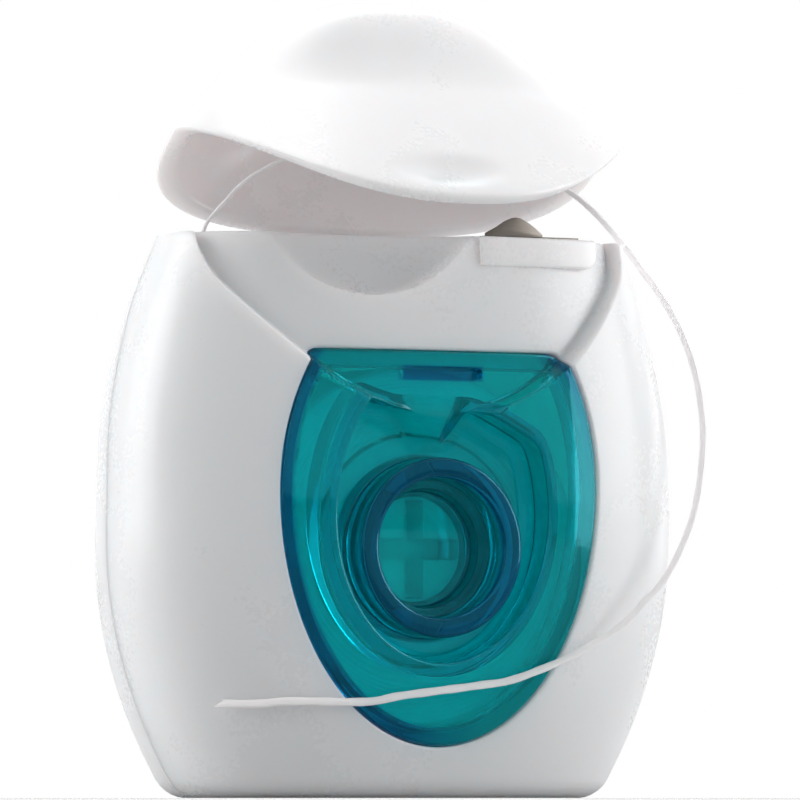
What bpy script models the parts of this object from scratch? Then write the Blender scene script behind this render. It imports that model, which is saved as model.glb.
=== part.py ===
"""A flip-top dental floss dispenser, in metres.

+Z is up and the front faces -Y. The case stands on its flat base at z = 0, with x = 0 on its
middle. The lid is modelled held open, as it is in use, and turns on a living hinge along X at
the case's top back edge. The bobbin of floss turns on the window's hub, along Y.
"""

import bmesh
import bpy
from math import ceil, cos, dist, pi, radians, sin, sqrt
from mathutils import Matrix, Vector

# Case, front and rear shells together
CASE_HEIGHT = 0.0490
CASE_HALF_WIDTH = 0.0270
TOP_HALF_WIDTH = 0.0222
BASE_HALF_WIDTH = 0.0200
WIDEST_HEIGHT = 0.0230
CASE_HALF_DEPTH = 0.0119
TOP_HALF_DEPTH = 0.00935
BASE_HALF_DEPTH = 0.0102
BASE_CENTRE_Y = 0.0018
TOP_CENTRE_Y = -0.00045
BASE_EDGE_RADIUS = 0.0015
CASE_WALL = 0.0013
PARTING_Y = 0.0015
LAP_DEPTH = 0.0012
LAP_WALL = 0.0008
SIDE_POWER = 2.1
LEAN_POWER = 2.2
SECTION_POWER = 2.5

# Gaps between pieces
SEAT_GAP = 0.0003
WINDOW_GAP = 0.00025

# Land at the front top, under the closed lid's skirt
LAND_DEPTH = 0.0017
RIDGE_LOW_Z = 0.0338
RIDGE_HALF_WIDTH = 0.0212
RIDGE_POWER = 2.35
RIDGE_DRAFT = 0.0007

# Thumb scoop and cutter ledge on the land
SCOOP_X = -0.0062
SCOOP_RADIUS = 0.0114
SCOOP_REACH = 0.0045
SCOOP_DROP = 0.0053
LEDGE_LEFT_X = 0.0044
LEDGE_RIGHT_X = 0.0167
LEDGE_HEIGHT = 0.0026
LEDGE_PROUD = 0.00065
LEDGE_BACK_Y = -0.0050

# Floss outlet in the top deck
OUTLET_X = -0.0170
OUTLET_Y = 0.0030
OUTLET_RADIUS = 0.0008

# Window insert
WINDOW_HALF_WIDTH = 0.01545
WINDOW_MIDDLE_Z = 0.0267
WINDOW_DROP = 0.0223
WINDOW_RISE = 0.0195
WINDOW_TOP_Z = 0.0389
WINDOW_WALL = 0.0012
WINDOW_RIM = 0.0013
FLANGE_REACH = 0.0009
FLANGE_THICKNESS = 0.0008
POCKET_HALF_WIDTH = 0.0103
POCKET_MIDDLE_Z = 0.0245
POCKET_DROP = 0.0128
POCKET_RISE = 0.0140
POCKET_FLOOR_Y = -0.0066
POCKET_ROUND = 0.0012
POCKET_TO_RIDGE = 0.0004
CATCH_Z = 0.0369
CATCH_WIDTH = 0.0077
CATCH_HEIGHT = 0.0010
CATCH_DEPTH = 0.0006

# Hub of the window
HUB_Z = 0.0217
HUB_RADIUS = 0.00785
HUB_FRONT_Y = -0.0097
HUB_BACK_Y = 0.0030
HUB_MOUTH_RADIUS = 0.0061
HUB_MOUTH_DEPTH = 0.0031
HUB_BORE_RADIUS = 0.0051
HUB_END_Y = -0.0050
HUB_END_THICKNESS = 0.0008
HUB_ROUND = 0.0004
CROSS_WIDTH = 0.0019
CROSS_LENGTH = 0.0088

# Bobbin and its floss
BOBBIN_GAP = 0.0003
BOBBIN_WALL = 0.00105
BOBBIN_FRONT_Y = -0.0046
BOBBIN_BACK_Y = 0.0086
COLLAR_RISE = 0.0007
COLLAR_WIDTH = 0.0008
POST_GAP = 0.0004
REST_RING_WALL = 0.0012
FLOSS_DIAMETER = 0.0005
WINDING_RADIUS = 0.0159
WINDING_FRONT_Y = -0.00405
WINDING_BACK_Y = 0.0068
WINDING_CORNER = 0.0008
WINDING_PITCH = 0.00099
WINDING_START = 0.0009
LEAD_OUT = 0.0005
LEAD_RISE = 0.0016

# Cutter
CUTTER_LEFT_X = 0.0066
CUTTER_RIGHT_X = 0.0158
CUTTER_FRONT_Y = -0.0052
CUTTER_BACK_Y = -0.0016
CUTTER_THICKNESS = 0.00028
TONGUE_WIDTH = 0.0056
TONGUE_HEIGHT = 0.00195
TONGUE_ROUND = 0.0009
TONGUE_SHOULDER = 0.0004
TONGUE_SPREAD_SHARE = 0.6
TONGUE_NOTCH = 0.0005

# Lid and living hinge
LID_OPEN_ANGLE = radians(41.5)
LID_RISE = 0.0117
LID_SIDE_POWER = 0.85
LID_NARROW_POWER = 0.41
LID_DEPTH_POWER = 3.4
LID_RIM_POWER = 2.6
LID_CROWN_POWER = 3.0
LID_CROWN_FORWARD = 0.0030
LID_LEVEL_POWER = 1.8
LID_CENTRE_FORWARD = 0.0010
LID_SIDE_WALL = 0.0019
LID_FRONT_WALL = 0.0012
LID_TOP_WALL = 0.0013
LID_PROUD = 0.0005
LID_GAP = 0.0003
LID_TO_RIDGE = 0.0014
LID_SKIRT_BACK_Y = -0.0030
DENT_HALF_WIDTH = 0.0047
DENT_HALF_HEIGHT = 0.0022
DENT_DEPTH = 0.0007
DENT_REACH = 0.0021
DENT_OVER_RIM = 0.0030
HINGE_Y = 0.0092
HINGE_LENGTH = 0.0165
HINGE_FILM = 0.0003
HINGE_ROOT = 0.0011

# Route of the free floss, as points from the outlet on
LOOP_ROUTE = [
    (-0.0170, 0.0030, 0.0493), (-0.0166, 0.0030, 0.0502), (-0.0159, 0.0026, 0.0512),
    (-0.0152, 0.0018, 0.0522), (-0.0147, 0.0010, 0.0531), (-0.0141, 0.0002, 0.0538),
    (-0.0132, -0.0008, 0.0546), (-0.0117, -0.0022, 0.0555), (-0.0090, -0.0040, 0.0563),
    (-0.0049, -0.0055, 0.0567), (0.0000, -0.0063, 0.0567), (0.0049, -0.0064, 0.0563),
    (0.0096, -0.0058, 0.0555), (0.0144, -0.0044, 0.0539), (0.0171, -0.0032, 0.0528),
    (0.0198, -0.0017, 0.0514), (0.0215, -0.0008, 0.0503), (0.0226, -0.0002, 0.0495),
    (0.0229, -0.0002, 0.0492),
]
TAIL_ROUTE = [
    (0.0231, -0.0003, 0.0490), (0.0236, -0.0006, 0.0482), (0.0242, -0.0011, 0.0471),
    (0.0250, -0.0025, 0.0452), (0.0256, -0.0035, 0.0436), (0.0262, -0.0045, 0.0417),
    (0.0268, -0.0055, 0.0392), (0.0273, -0.0060, 0.0366), (0.0275, -0.0065, 0.0336),
    (0.0273, -0.0070, 0.0316), (0.0267, -0.0075, 0.0281), (0.0256, -0.0080, 0.0245),
    (0.0236, -0.0086, 0.0209), (0.0218, -0.0090, 0.0186), (0.0202, -0.0093, 0.0173),
    (0.0185, -0.0095, 0.0157), (0.0163, -0.0097, 0.0142), (0.0142, -0.0099, 0.0132),
    (0.0116, -0.0101, 0.0120), (0.0067, -0.0102, 0.0103), (0.0036, -0.0102, 0.0098),
    (-0.0004, -0.0102, 0.0093), (-0.0044, -0.0101, 0.0088), (-0.0073, -0.0098, 0.0083),
    (-0.0124, -0.0092, 0.0083), (-0.0148, -0.0086, 0.0083), (-0.0171, -0.0079, 0.0081),
    (-0.0200, -0.0066, 0.0081),
]

# How finely the round forms are divided
RING_POINTS = 48
CASE_LEVELS = 9
ROUND_POINTS = 40
EDGE_STEPS = 3
DOME_STEPS = 8
SKIRT_STEPS = 5
OUTLINE_POINTS = 40
RIDGE_POINTS = 25
TURN_POINTS = 24
STRAND_STEP = 3.8 * FLOSS_DIAMETER
ROUTE_PARTS = 24
BISECTIONS = 24
OVERRUN = 0.0030

HINGE_POINT = Vector((0, HINGE_Y, CASE_HEIGHT + LID_GAP / 2))
MIDDLE = Vector((0, 0, HUB_Z))


def clear_scene():
    for thing in list(bpy.data.objects):
        bpy.data.objects.remove(thing, do_unlink=True)


def material(name, colour, roughness, metallic=0.0, transmission=0.0):
    finish = bpy.data.materials.new(name)
    finish.use_nodes = True
    shader = finish.node_tree.nodes["Principled BSDF"]
    shader.inputs["Base Color"].default_value = (*colour, 1.0)
    shader.inputs["Roughness"].default_value = roughness
    shader.inputs["Metallic"].default_value = metallic
    shader.inputs["Transmission Weight"].default_value = transmission
    return finish


def add_object(name, bm):
    """Turn a bmesh into an object, with its faces pointing out."""
    bmesh.ops.recalc_face_normals(bm, faces=bm.faces)
    mesh = bpy.data.meshes.new(name)
    bm.to_mesh(mesh)
    bm.free()
    thing = bpy.data.objects.new(name, mesh)
    bpy.context.scene.collection.objects.link(thing)
    return thing


def loft(name, rings, peak=None):
    """Join rings of equal count into a closed form with flat ends, or with a peak on its last."""
    bm = bmesh.new()
    rows = [[bm.verts.new(point) for point in ring] for ring in rings]
    count = len(rows[0])
    for low, high in zip(rows, rows[1:]):
        for i in range(count):
            j = (i + 1) % count
            bm.faces.new((low[i], low[j], high[j], high[i]))
    bm.faces.new(rows[0])
    end = bm.faces.new(rows[-1])
    if peak:
        top = bmesh.ops.poke(bm, faces=[end])["verts"][0]
        top.co = peak
    return add_object(name, bm)


def turned(name, profile, points=ROUND_POINTS, axis=MIDDLE):
    """Turn a closed profile of (radius, y) points about an axis along Y."""
    bm = bmesh.new()
    rim = [bm.verts.new((axis.x + radius, y, axis.z)) for radius, y in profile]
    face = bm.faces.new(rim)
    bmesh.ops.spin(bm, geom=[face], cent=axis, axis=(0, 1, 0), angle=2 * pi, steps=points,
                   use_merge=True, use_duplicate=False)
    bmesh.ops.remove_doubles(bm, verts=bm.verts, dist=HUB_ROUND / 100)
    inner = [part for part in bm.faces if all(len(edge.link_faces) > 2 for edge in part.edges)]
    bmesh.ops.delete(bm, geom=inner, context="FACES_ONLY")
    return add_object(name, bm)


def block(name, low, high):
    bm = bmesh.new()
    bmesh.ops.create_cube(bm, size=1)
    size = Vector(high) - Vector(low)
    bmesh.ops.scale(bm, vec=size, verts=bm.verts)
    bmesh.ops.translate(bm, vec=(Vector(high) + Vector(low)) / 2, verts=bm.verts)
    return add_object(name, bm)


def combine(target, other, operation):
    """Apply a Boolean between two objects and remove the second."""
    step = target.modifiers.new(operation, "BOOLEAN")
    step.operation = operation
    step.solver = "EXACT"
    step.object = other
    view = bpy.context.evaluated_depsgraph_get()
    mesh = bpy.data.meshes.new_from_object(target.evaluated_get(view))
    target.modifiers.remove(step)
    old = target.data
    target.data = mesh
    bpy.data.meshes.remove(old)
    bpy.data.objects.remove(other, do_unlink=True)
    return target


def cut(target, *cutters):
    for cutter in cutters:
        combine(target, cutter, "DIFFERENCE")
    return target


def join(target, *others):
    for other in others:
        combine(target, other, "UNION")
    return target


def keep(target, form):
    return combine(target, form, "INTERSECT")


def finish(thing, name, surface, sharp=radians(32)):
    thing.name = name
    thing.data.name = name
    thing.data.materials.clear()
    thing.data.materials.append(surface)
    thing.data.shade_smooth()
    thing.data.set_sharp_from_angle(angle=sharp)
    return thing


def bowed(height, middle, top, base):
    """A half size that swells to its middle value at the widest height."""
    above = height > WIDEST_HEIGHT
    span = CASE_HEIGHT - WIDEST_HEIGHT if above else WIDEST_HEIGHT
    end = top if above else base
    return middle - (middle - end) * (abs(height - WIDEST_HEIGHT) / span) ** SIDE_POWER


def case_centre_y(height):
    share = max(height, 0) / CASE_HEIGHT
    return BASE_CENTRE_Y + (TOP_CENTRE_Y - BASE_CENTRE_Y) * share ** LEAN_POWER


def ring(half_width, half_depth, centre_y, height, power=SECTION_POWER):
    """A rounded-square section at one height."""
    points = []
    for i in range(RING_POINTS):
        turn = 2 * pi * i / RING_POINTS
        across = abs(cos(turn)) ** (2 / power)
        along = abs(sin(turn)) ** (2 / power)
        x = half_width * (across if cos(turn) >= 0 else -across)
        y = half_depth * (along if sin(turn) >= 0 else -along)
        points.append((x, centre_y + y, height))
    return points


def case_ring(height, inset=0.0):
    half_width = bowed(height, CASE_HALF_WIDTH, TOP_HALF_WIDTH, BASE_HALF_WIDTH) - inset
    half_depth = bowed(height, CASE_HALF_DEPTH, TOP_HALF_DEPTH, BASE_HALF_DEPTH) - inset
    return ring(half_width, half_depth, case_centre_y(height), height)


def plain_case(name, inset=0.0, top=CASE_HEIGHT):
    """The case's barrel form, drawn in by an inset, with its rounded base edge."""
    low = inset
    radius = BASE_EDGE_RADIUS
    rings = []
    for i in range(EDGE_STEPS):
        turn = (pi / 2) * i / EDGE_STEPS
        rings.append(case_ring(low + radius * (1 - cos(turn)), inset + radius * (1 - sin(turn))))
    straight = top - low - radius
    for i in range(CASE_LEVELS + 1):
        rings.append(case_ring(low + radius + straight * i / CASE_LEVELS, inset))
    return loft(name, rings)


def ridge_z(x, low=RIDGE_LOW_Z, half_width=RIDGE_HALF_WIDTH):
    """Height of the land's lower border, a wide bowl that reaches the top at its two ends."""
    return low + (CASE_HEIGHT - low) * (abs(x) / half_width) ** RIDGE_POWER


def ridge_outline(grow, y):
    """The land seen from the front, as a ring at one depth, grown outwards."""
    half_width = RIDGE_HALF_WIDTH + grow
    low = RIDGE_LOW_Z - grow
    points = []
    for i in range(RIDGE_POINTS):
        share = 2 * i / (RIDGE_POINTS - 1) - 1
        x = half_width * share
        points.append((x, y, ridge_z(x, low, half_width)))
    points[0] = (-half_width, y, CASE_HEIGHT)
    points[-1] = (half_width, y, CASE_HEIGHT)
    top = CASE_HEIGHT + OVERRUN
    return points + [(half_width, y, top), (-half_width, y, top)]


def land_tool(name, grow, inset):
    """What is cut away in front of the land's floor, drafted so that its ridge is sloped."""
    front_y = TOP_CENTRE_Y - CASE_HALF_DEPTH - OVERRUN
    back_y = TOP_CENTRE_Y
    slope = RIDGE_DRAFT / LAND_DEPTH
    wide = grow + slope * (CASE_HALF_DEPTH + OVERRUN - LAND_DEPTH) / 2
    prism = loft(name, [ridge_outline(wide, front_y), ridge_outline(grow - RIDGE_DRAFT, back_y)])
    floor = plain_case("land floor", inset, top=CASE_HEIGHT + 2 * OVERRUN)
    return cut(prism, floor)


def case_form(name, inset=0.0, top=CASE_HEIGHT):
    """The case's outer form with its land, drawn in evenly by an inset."""
    form = plain_case(name, inset, top)
    return cut(form, land_tool("land", inset, inset + LAND_DEPTH))


def front_outline(inside, middle_z, reach, points=OUTLINE_POINTS):
    """Border of a region seen from the front, found along rays from its middle."""
    border = []
    for i in range(points):
        turn = 2 * pi * (i + 0.5) / points
        low = 0.0
        high = reach
        for _ in range(BISECTIONS):
            middle = (low + high) / 2
            if inside(middle * cos(turn), middle_z + middle * sin(turn)):
                low = middle
            else:
                high = middle
        border.append((low * cos(turn), middle_z + low * sin(turn)))
    return border


def in_egg(x, z, half_width, middle_z, drop, rise):
    height = rise if z > middle_z else drop
    return (x / half_width) ** 2 + ((z - middle_z) / height) ** 2 < 1


def window_outline(grow):
    def inside(x, z):
        return z < WINDOW_TOP_Z + grow and in_egg(
            x, z, WINDOW_HALF_WIDTH + grow, WINDOW_MIDDLE_Z, WINDOW_DROP + grow, WINDOW_RISE + grow)
    return front_outline(inside, WINDOW_MIDDLE_Z, CASE_HEIGHT)


def pocket_outline(grow):
    def inside(x, z):
        return z < ridge_z(x) - POCKET_TO_RIDGE + grow and in_egg(
            x, z, POCKET_HALF_WIDTH + grow, POCKET_MIDDLE_Z, POCKET_DROP + grow, POCKET_RISE + grow)
    return front_outline(inside, POCKET_MIDDLE_Z, CASE_HEIGHT)


def prism(name, outline, front_y, back_y):
    return loft(name, [[(x, y, z) for x, z in outline] for y in (front_y, back_y)])


def window_prism(name, grow):
    return prism(name, window_outline(grow), PARTING_Y - CASE_HALF_DEPTH - 2 * OVERRUN,
                 POCKET_FLOOR_Y + OVERRUN)


def pocket_form(name, grow):
    """The dished pocket, with a rounded floor edge, grown by a wall where needed."""
    floor_y = POCKET_FLOOR_Y + grow
    rows = [(grow, PARTING_Y - CASE_HALF_DEPTH - 2 * OVERRUN)]
    for i in range(EDGE_STEPS + 1):
        turn = (pi / 2) * i / EDGE_STEPS
        rows.append((grow - POCKET_ROUND * (1 - cos(turn)), floor_y - POCKET_ROUND * (1 - sin(turn))))
    rings = []
    for size, y in rows:
        rings.append([(x, y, z) for x, z in pocket_outline(size)])
    return loft(name, rings)


def scoop(name, grow=0.0):
    """An egg-shaped cutter for the thumb scoop, centred above the deck."""
    bm = bmesh.new()
    bmesh.ops.create_uvsphere(bm, u_segments=RING_POINTS // 2, v_segments=RING_POINTS // 4, radius=1)
    size = (SCOOP_RADIUS + grow, SCOOP_REACH + grow, SCOOP_RADIUS + grow)
    bmesh.ops.scale(bm, vec=size, verts=bm.verts)
    face_y = TOP_CENTRE_Y - TOP_HALF_DEPTH + LAND_DEPTH
    centre = (SCOOP_X, face_y, CASE_HEIGHT + SCOOP_RADIUS - SCOOP_DROP)
    bmesh.ops.translate(bm, vec=centre, verts=bm.verts)
    return add_object(name, bm)


def ledge(name):
    """The rib under the cutter, standing proud of the land, with a rounded right end."""
    radius = LEDGE_HEIGHT / 2
    low = CASE_HEIGHT - LEDGE_HEIGHT
    outline = [(LEDGE_LEFT_X, CASE_HEIGHT), (LEDGE_LEFT_X, low)]
    for i in range(EDGE_STEPS + 1):
        turn = (pi / 2) * i / EDGE_STEPS
        outline.append((LEDGE_RIGHT_X - radius * (1 - sin(turn)), low + radius * (1 - cos(turn))))
    outline.append((LEDGE_RIGHT_X, CASE_HEIGHT))
    bar = prism(name, outline, TOP_CENTRE_Y - CASE_HALF_DEPTH, LEDGE_BACK_Y)
    return keep(bar, plain_case("ledge face", LAND_DEPTH - LEDGE_PROUD, CASE_HEIGHT + OVERRUN))


def case_cavity(name):
    """The space inside the two shells."""
    cavity = case_form(name, CASE_WALL, CASE_HEIGHT - CASE_WALL)
    return cut(cavity, scoop("scoop skin", CASE_WALL))


def half_space(name, front_y, back_y):
    reach = CASE_HALF_WIDTH + OVERRUN
    return block(name, (-reach, front_y, -OVERRUN), (reach, back_y, CASE_HEIGHT + OVERRUN))


def cutter_seat():
    """A shallow seat in the deck that holds the cutter's plate."""
    low = (CUTTER_LEFT_X - SEAT_GAP, CUTTER_FRONT_Y - SEAT_GAP, CASE_HEIGHT - SEAT_GAP)
    high = (CUTTER_RIGHT_X + SEAT_GAP, CUTTER_BACK_Y + SEAT_GAP, CASE_HEIGHT + OVERRUN)
    return block("cutter seat", low, high)


def make_front_shell(surface):
    shell = case_form("front shell")
    join(shell, ledge("ledge"))
    cut(shell, scoop("scoop"), case_cavity("cavity"), window_prism("opening", 0), cutter_seat())
    keep(shell, half_space("front half", -CASE_HALF_DEPTH - OVERRUN, PARTING_Y - SEAT_GAP / 2))
    return finish(shell, "front_shell", surface)


def lap_rim():
    """The rear shell's rim: a thin lip inside the front shell's edge, on a wider band of wall."""
    outer = CASE_WALL + SEAT_GAP
    rim = plain_case("lap lip", outer, CASE_HEIGHT - outer)
    keep(rim, half_space("lap slice", PARTING_Y - LAP_DEPTH, PARTING_Y + LAP_DEPTH / 2))
    band = plain_case("lap band", CASE_WALL / 2, CASE_HEIGHT - CASE_WALL / 2)
    join(rim, keep(band, half_space("band slice", PARTING_Y + SEAT_GAP / 2, PARTING_Y + LAP_DEPTH)))
    inner = outer + LAP_WALL
    return cut(rim, plain_case("lap inside", inner, CASE_HEIGHT - inner))


def post_top(y_back):
    """The axle post that enters the hub from behind."""
    radius = HUB_BORE_RADIUS - POST_GAP
    front = HUB_END_Y + HUB_END_THICKNESS + SEAT_GAP
    profile = [(0, front), (radius - HUB_ROUND, front), (radius, front + HUB_ROUND), (radius, y_back),
               (0, y_back)]
    return turned("post", profile)


def rest_ring(y_back):
    """The rib ring that the bobbin's back end runs against."""
    inner = HUB_RADIUS + BOBBIN_GAP
    outer = inner + REST_RING_WALL
    front = BOBBIN_BACK_Y + BOBBIN_GAP
    return turned("rest ring", [(inner, front), (outer, front), (outer, y_back), (inner, y_back)])


def outlet_hole():
    axis = Vector((OUTLET_X, OUTLET_Y, CASE_HEIGHT - CASE_WALL / 2))
    bm = bmesh.new()
    bmesh.ops.create_cone(bm, segments=TURN_POINTS, radius1=OUTLET_RADIUS, radius2=OUTLET_RADIUS,
                          depth=CASE_WALL + OVERRUN, cap_ends=True)
    bmesh.ops.translate(bm, vec=axis, verts=bm.verts)
    return add_object("outlet hole", bm)


def hinge_notch():
    """The step in the case's back edge that the hinge's root lies in."""
    half = HINGE_LENGTH / 2 + SEAT_GAP
    front_y = HINGE_Y - HINGE_FILM / 2 - SEAT_GAP
    low = HINGE_POINT.z - HINGE_ROOT - SEAT_GAP
    return block("hinge notch", (-half, front_y, low), (half, front_y + OVERRUN, low + OVERRUN))


def make_rear_shell(surface):
    shell = plain_case("rear shell")
    cut(shell, case_cavity("cavity"), hinge_notch())
    keep(shell, half_space("rear half", PARTING_Y + SEAT_GAP / 2, CASE_HALF_WIDTH))
    back_y = case_centre_y(HUB_Z) + CASE_HALF_DEPTH - CASE_WALL / 2
    join(shell, lap_rim(), post_top(back_y), rest_ring(back_y))
    cut(shell, outlet_hole())
    return finish(shell, "rear_shell", surface)


def hub_profile():
    """Half section of the hub: a ring in front, a stepped mouth, a thin end and a tube behind."""
    mouth_y = HUB_FRONT_Y + HUB_MOUTH_DEPTH
    end_back = HUB_END_Y + HUB_END_THICKNESS
    front = HUB_FRONT_Y + HUB_ROUND
    return [(0, HUB_END_Y), (HUB_BORE_RADIUS, HUB_END_Y), (HUB_BORE_RADIUS, mouth_y),
            (HUB_MOUTH_RADIUS, mouth_y), (HUB_MOUTH_RADIUS, front),
            (HUB_MOUTH_RADIUS + HUB_ROUND, HUB_FRONT_Y), (HUB_RADIUS - HUB_ROUND, HUB_FRONT_Y),
            (HUB_RADIUS, front), (HUB_RADIUS, HUB_BACK_Y), (HUB_BORE_RADIUS, HUB_BACK_Y),
            (HUB_BORE_RADIUS, end_back), (0, end_back)]


def cross_bars():
    bars = []
    for wide, tall in ((CROSS_LENGTH, CROSS_WIDTH), (CROSS_WIDTH, CROSS_LENGTH)):
        low = (-wide / 2, HUB_END_Y - HUB_END_THICKNESS, HUB_Z - tall / 2)
        high = (wide / 2, HUB_END_Y + 2 * HUB_END_THICKNESS, HUB_Z + tall / 2)
        bars.append(block("cross bar", low, high))
    return bars


def catch_slot():
    """The slot near the window's top edge that the lid's bead snaps into."""
    face_y = case_centre_y(CATCH_Z) - bowed(CATCH_Z, CASE_HALF_DEPTH, TOP_HALF_DEPTH, BASE_HALF_DEPTH)
    face_y += LAND_DEPTH
    low = (-CATCH_WIDTH / 2, face_y - OVERRUN, CATCH_Z - CATCH_HEIGHT / 2)
    high = (CATCH_WIDTH / 2, face_y + CATCH_DEPTH, CATCH_Z + CATCH_HEIGHT / 2)
    return block("catch slot", low, high)


def make_window(surface):
    skin = keep(case_form("window", 0), window_prism("edge", -WINDOW_GAP))
    flange_inset = CASE_WALL + SEAT_GAP
    flange = keep(case_form("flange", flange_inset), window_prism("flange edge", FLANGE_REACH))
    join(skin, flange)
    dish = keep(pocket_form("dish", WINDOW_WALL), case_form("dish face", WINDOW_WALL / 2))
    hollow = case_form("hollow", flange_inset + FLANGE_THICKNESS)
    thin = keep(case_form("thin", WINDOW_WALL), window_prism("thin edge", -WINDOW_GAP - WINDOW_RIM))
    join(hollow, thin)
    cut(hollow, pocket_form("dish wall", WINDOW_WALL))
    cut(skin, hollow)
    join(skin, dish)
    cut(skin, pocket_form("pocket", 0), catch_slot())
    bore = turned("bore", [(0, HUB_FRONT_Y), (HUB_MOUTH_RADIUS, HUB_FRONT_Y),
                           (HUB_MOUTH_RADIUS, HUB_BACK_Y), (0, HUB_BACK_Y)])
    cut(skin, bore)
    join(skin, turned("hub", hub_profile()))
    cut(skin, *cross_bars())
    return finish(skin, "window", surface)


def make_bobbin(surface):
    bore = HUB_RADIUS + BOBBIN_GAP
    outer = bore + BOBBIN_WALL
    collar = outer + COLLAR_RISE
    front = BOBBIN_FRONT_Y
    back = BOBBIN_BACK_Y
    profile = [(bore, front), (collar, front), (collar, front + COLLAR_WIDTH),
               (outer, front + COLLAR_WIDTH), (outer, back - COLLAR_WIDTH),
               (collar, back - COLLAR_WIDTH), (collar, back), (bore, back)]
    return finish(turned("bobbin", profile), "bobbin", surface)


def make_floss_core(surface):
    """The plain mass of wound floss that the outer turns lie on."""
    space = FLOSS_DIAMETER / 2 + SEAT_GAP
    inner = HUB_RADIUS + BOBBIN_GAP + BOBBIN_WALL + COLLAR_RISE + SEAT_GAP
    outer = WINDING_RADIUS - space
    front = WINDING_FRONT_Y + space
    back = WINDING_BACK_Y + WINDING_PITCH / 2
    edge = WINDING_CORNER - space
    profile = [(inner, front), (outer - edge, front), (outer - edge / 3, front + edge / 3),
               (outer, front + edge), (outer, back - edge), (outer - edge, back), (inner, back)]
    return finish(turned("floss core", profile), "floss_core", surface)


def winding_section(length):
    """Radius and y of the outer layer, by the length run along its half section."""
    inner = HUB_RADIUS + BOBBIN_GAP + BOBBIN_WALL + COLLAR_RISE + SEAT_GAP + WINDING_START
    face = WINDING_RADIUS - WINDING_CORNER - inner
    bend = WINDING_CORNER * pi / 2
    if length < face:
        return inner + length, WINDING_FRONT_Y
    if length < face + bend:
        turn = (length - face) / WINDING_CORNER
        return (WINDING_RADIUS - WINDING_CORNER * (1 - sin(turn)),
                WINDING_FRONT_Y + WINDING_CORNER * (1 - cos(turn)))
    return WINDING_RADIUS, WINDING_FRONT_Y + WINDING_CORNER + length - face - bend


def winding_points():
    """One strand: over the front face from the bobbin outwards, then along the outside."""
    inner = HUB_RADIUS + BOBBIN_GAP + BOBBIN_WALL + COLLAR_RISE + SEAT_GAP + WINDING_START
    face = WINDING_RADIUS - WINDING_CORNER - inner
    total = face + WINDING_CORNER * pi / 2 + WINDING_BACK_Y - WINDING_FRONT_Y - WINDING_CORNER
    loops = round(total / WINDING_PITCH)
    steps = loops * TURN_POINTS
    points = []
    for i in range(steps + 1):
        radius, y = winding_section(total * i / steps)
        turn = pi + 2 * pi * (steps - i) / TURN_POINTS
        points.append(Vector((radius * cos(turn), y, HUB_Z + radius * sin(turn))))
    inward = (MIDDLE - points[0]).normalized()
    inward.y = 0
    start = points[0] + inward * WINDING_START
    leave = points[-1] + Vector((-LEAD_OUT, 0, LEAD_RISE))
    end = leave + Vector((-LEAD_OUT / 4, 0, LEAD_RISE / 2))
    return [start, start - inward * FLOSS_DIAMETER] + points[1:] + [leave, end], loops


def least_gap(points, diameter, apart=8):
    """The least clear gap between stretches of one strand, on its points."""
    best = 1.0
    for i, point in enumerate(points):
        for other in points[i + apart:]:
            best = min(best, dist(point, other))
    return best - diameter


def smooth_route(route, step):
    """Points at even steps on a smooth curve through a route's own points."""
    ends = [Vector(route[0]) * 2 - Vector(route[1])]
    knots = ends + [Vector(point) for point in route] + [Vector(route[-1]) * 2 - Vector(route[-2])]
    fine = []
    for a, b, c, d in zip(knots, knots[1:], knots[2:], knots[3:]):
        for i in range(ROUTE_PARTS):
            t = i / ROUTE_PARTS
            fine.append((2 * b + (c - a) * t + (2 * a - 5 * b + 4 * c - d) * t ** 2
                         + (3 * b - a - 3 * c + d) * t ** 3) / 2)
    fine.append(knots[-2])
    runs = [0.0]
    for a, b in zip(fine, fine[1:]):
        runs.append(runs[-1] + (b - a).length)
    count = max(2, ceil(runs[-1] / step))
    points = []
    at = 0
    for i in range(count + 1):
        target = runs[-1] * i / count
        while at < len(runs) - 2 and runs[at + 1] < target:
            at += 1
        share = (target - runs[at]) / (runs[at + 1] - runs[at])
        points.append(fine[at].lerp(fine[at + 1], share))
    return points, runs[-1]


def strand(name, points, resolution, surface):
    """A round tube along a strand's points, closed at both ends."""
    curve = bpy.data.curves.new(name, "CURVE")
    curve.dimensions = "3D"
    curve.bevel_depth = FLOSS_DIAMETER / 2
    curve.bevel_resolution = resolution
    curve.render_resolution_u = 0
    curve.use_fill_caps = True
    line = curve.splines.new("POLY")
    line.points.add(len(points) - 1)
    for knot, point in zip(line.points, points):
        knot.co = (*point, 1)
    line.use_smooth = True
    thing = bpy.data.objects.new(name, curve)
    curve.materials.append(surface)
    bpy.context.scene.collection.objects.link(thing)
    return thing


def make_floss(surface):
    points, loops = winding_points()
    strand("floss_winding", points, 1, surface)
    gap = least_gap(points, FLOSS_DIAMETER)
    print(f"winding: {loops} loops, least gap to itself {gap * 1000:.3f} mm")
    lead_start = points[-1] + (points[-1] - points[-2]).normalized() * SEAT_GAP
    lead_end = Vector((OUTLET_X, OUTLET_Y, CASE_HEIGHT))
    lead_points, lead_length = smooth_route([lead_start, lead_end], 2 * STRAND_STEP)
    strand("floss_lead", lead_points, 2, surface)
    loop_points, loop_length = smooth_route(LOOP_ROUTE, STRAND_STEP)
    strand("floss_loop", loop_points, 2, surface)
    tail_points, tail_length = smooth_route(TAIL_ROUTE, STRAND_STEP)
    strand("floss_tail", tail_points, 2, surface)
    free = (loop_length + tail_length) * 1000
    print(f"free floss: {free:.1f} mm, lead {lead_length * 1000:.1f} mm, "
          f"{len(lead_points) + len(loop_points) + len(tail_points)} points")


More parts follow.
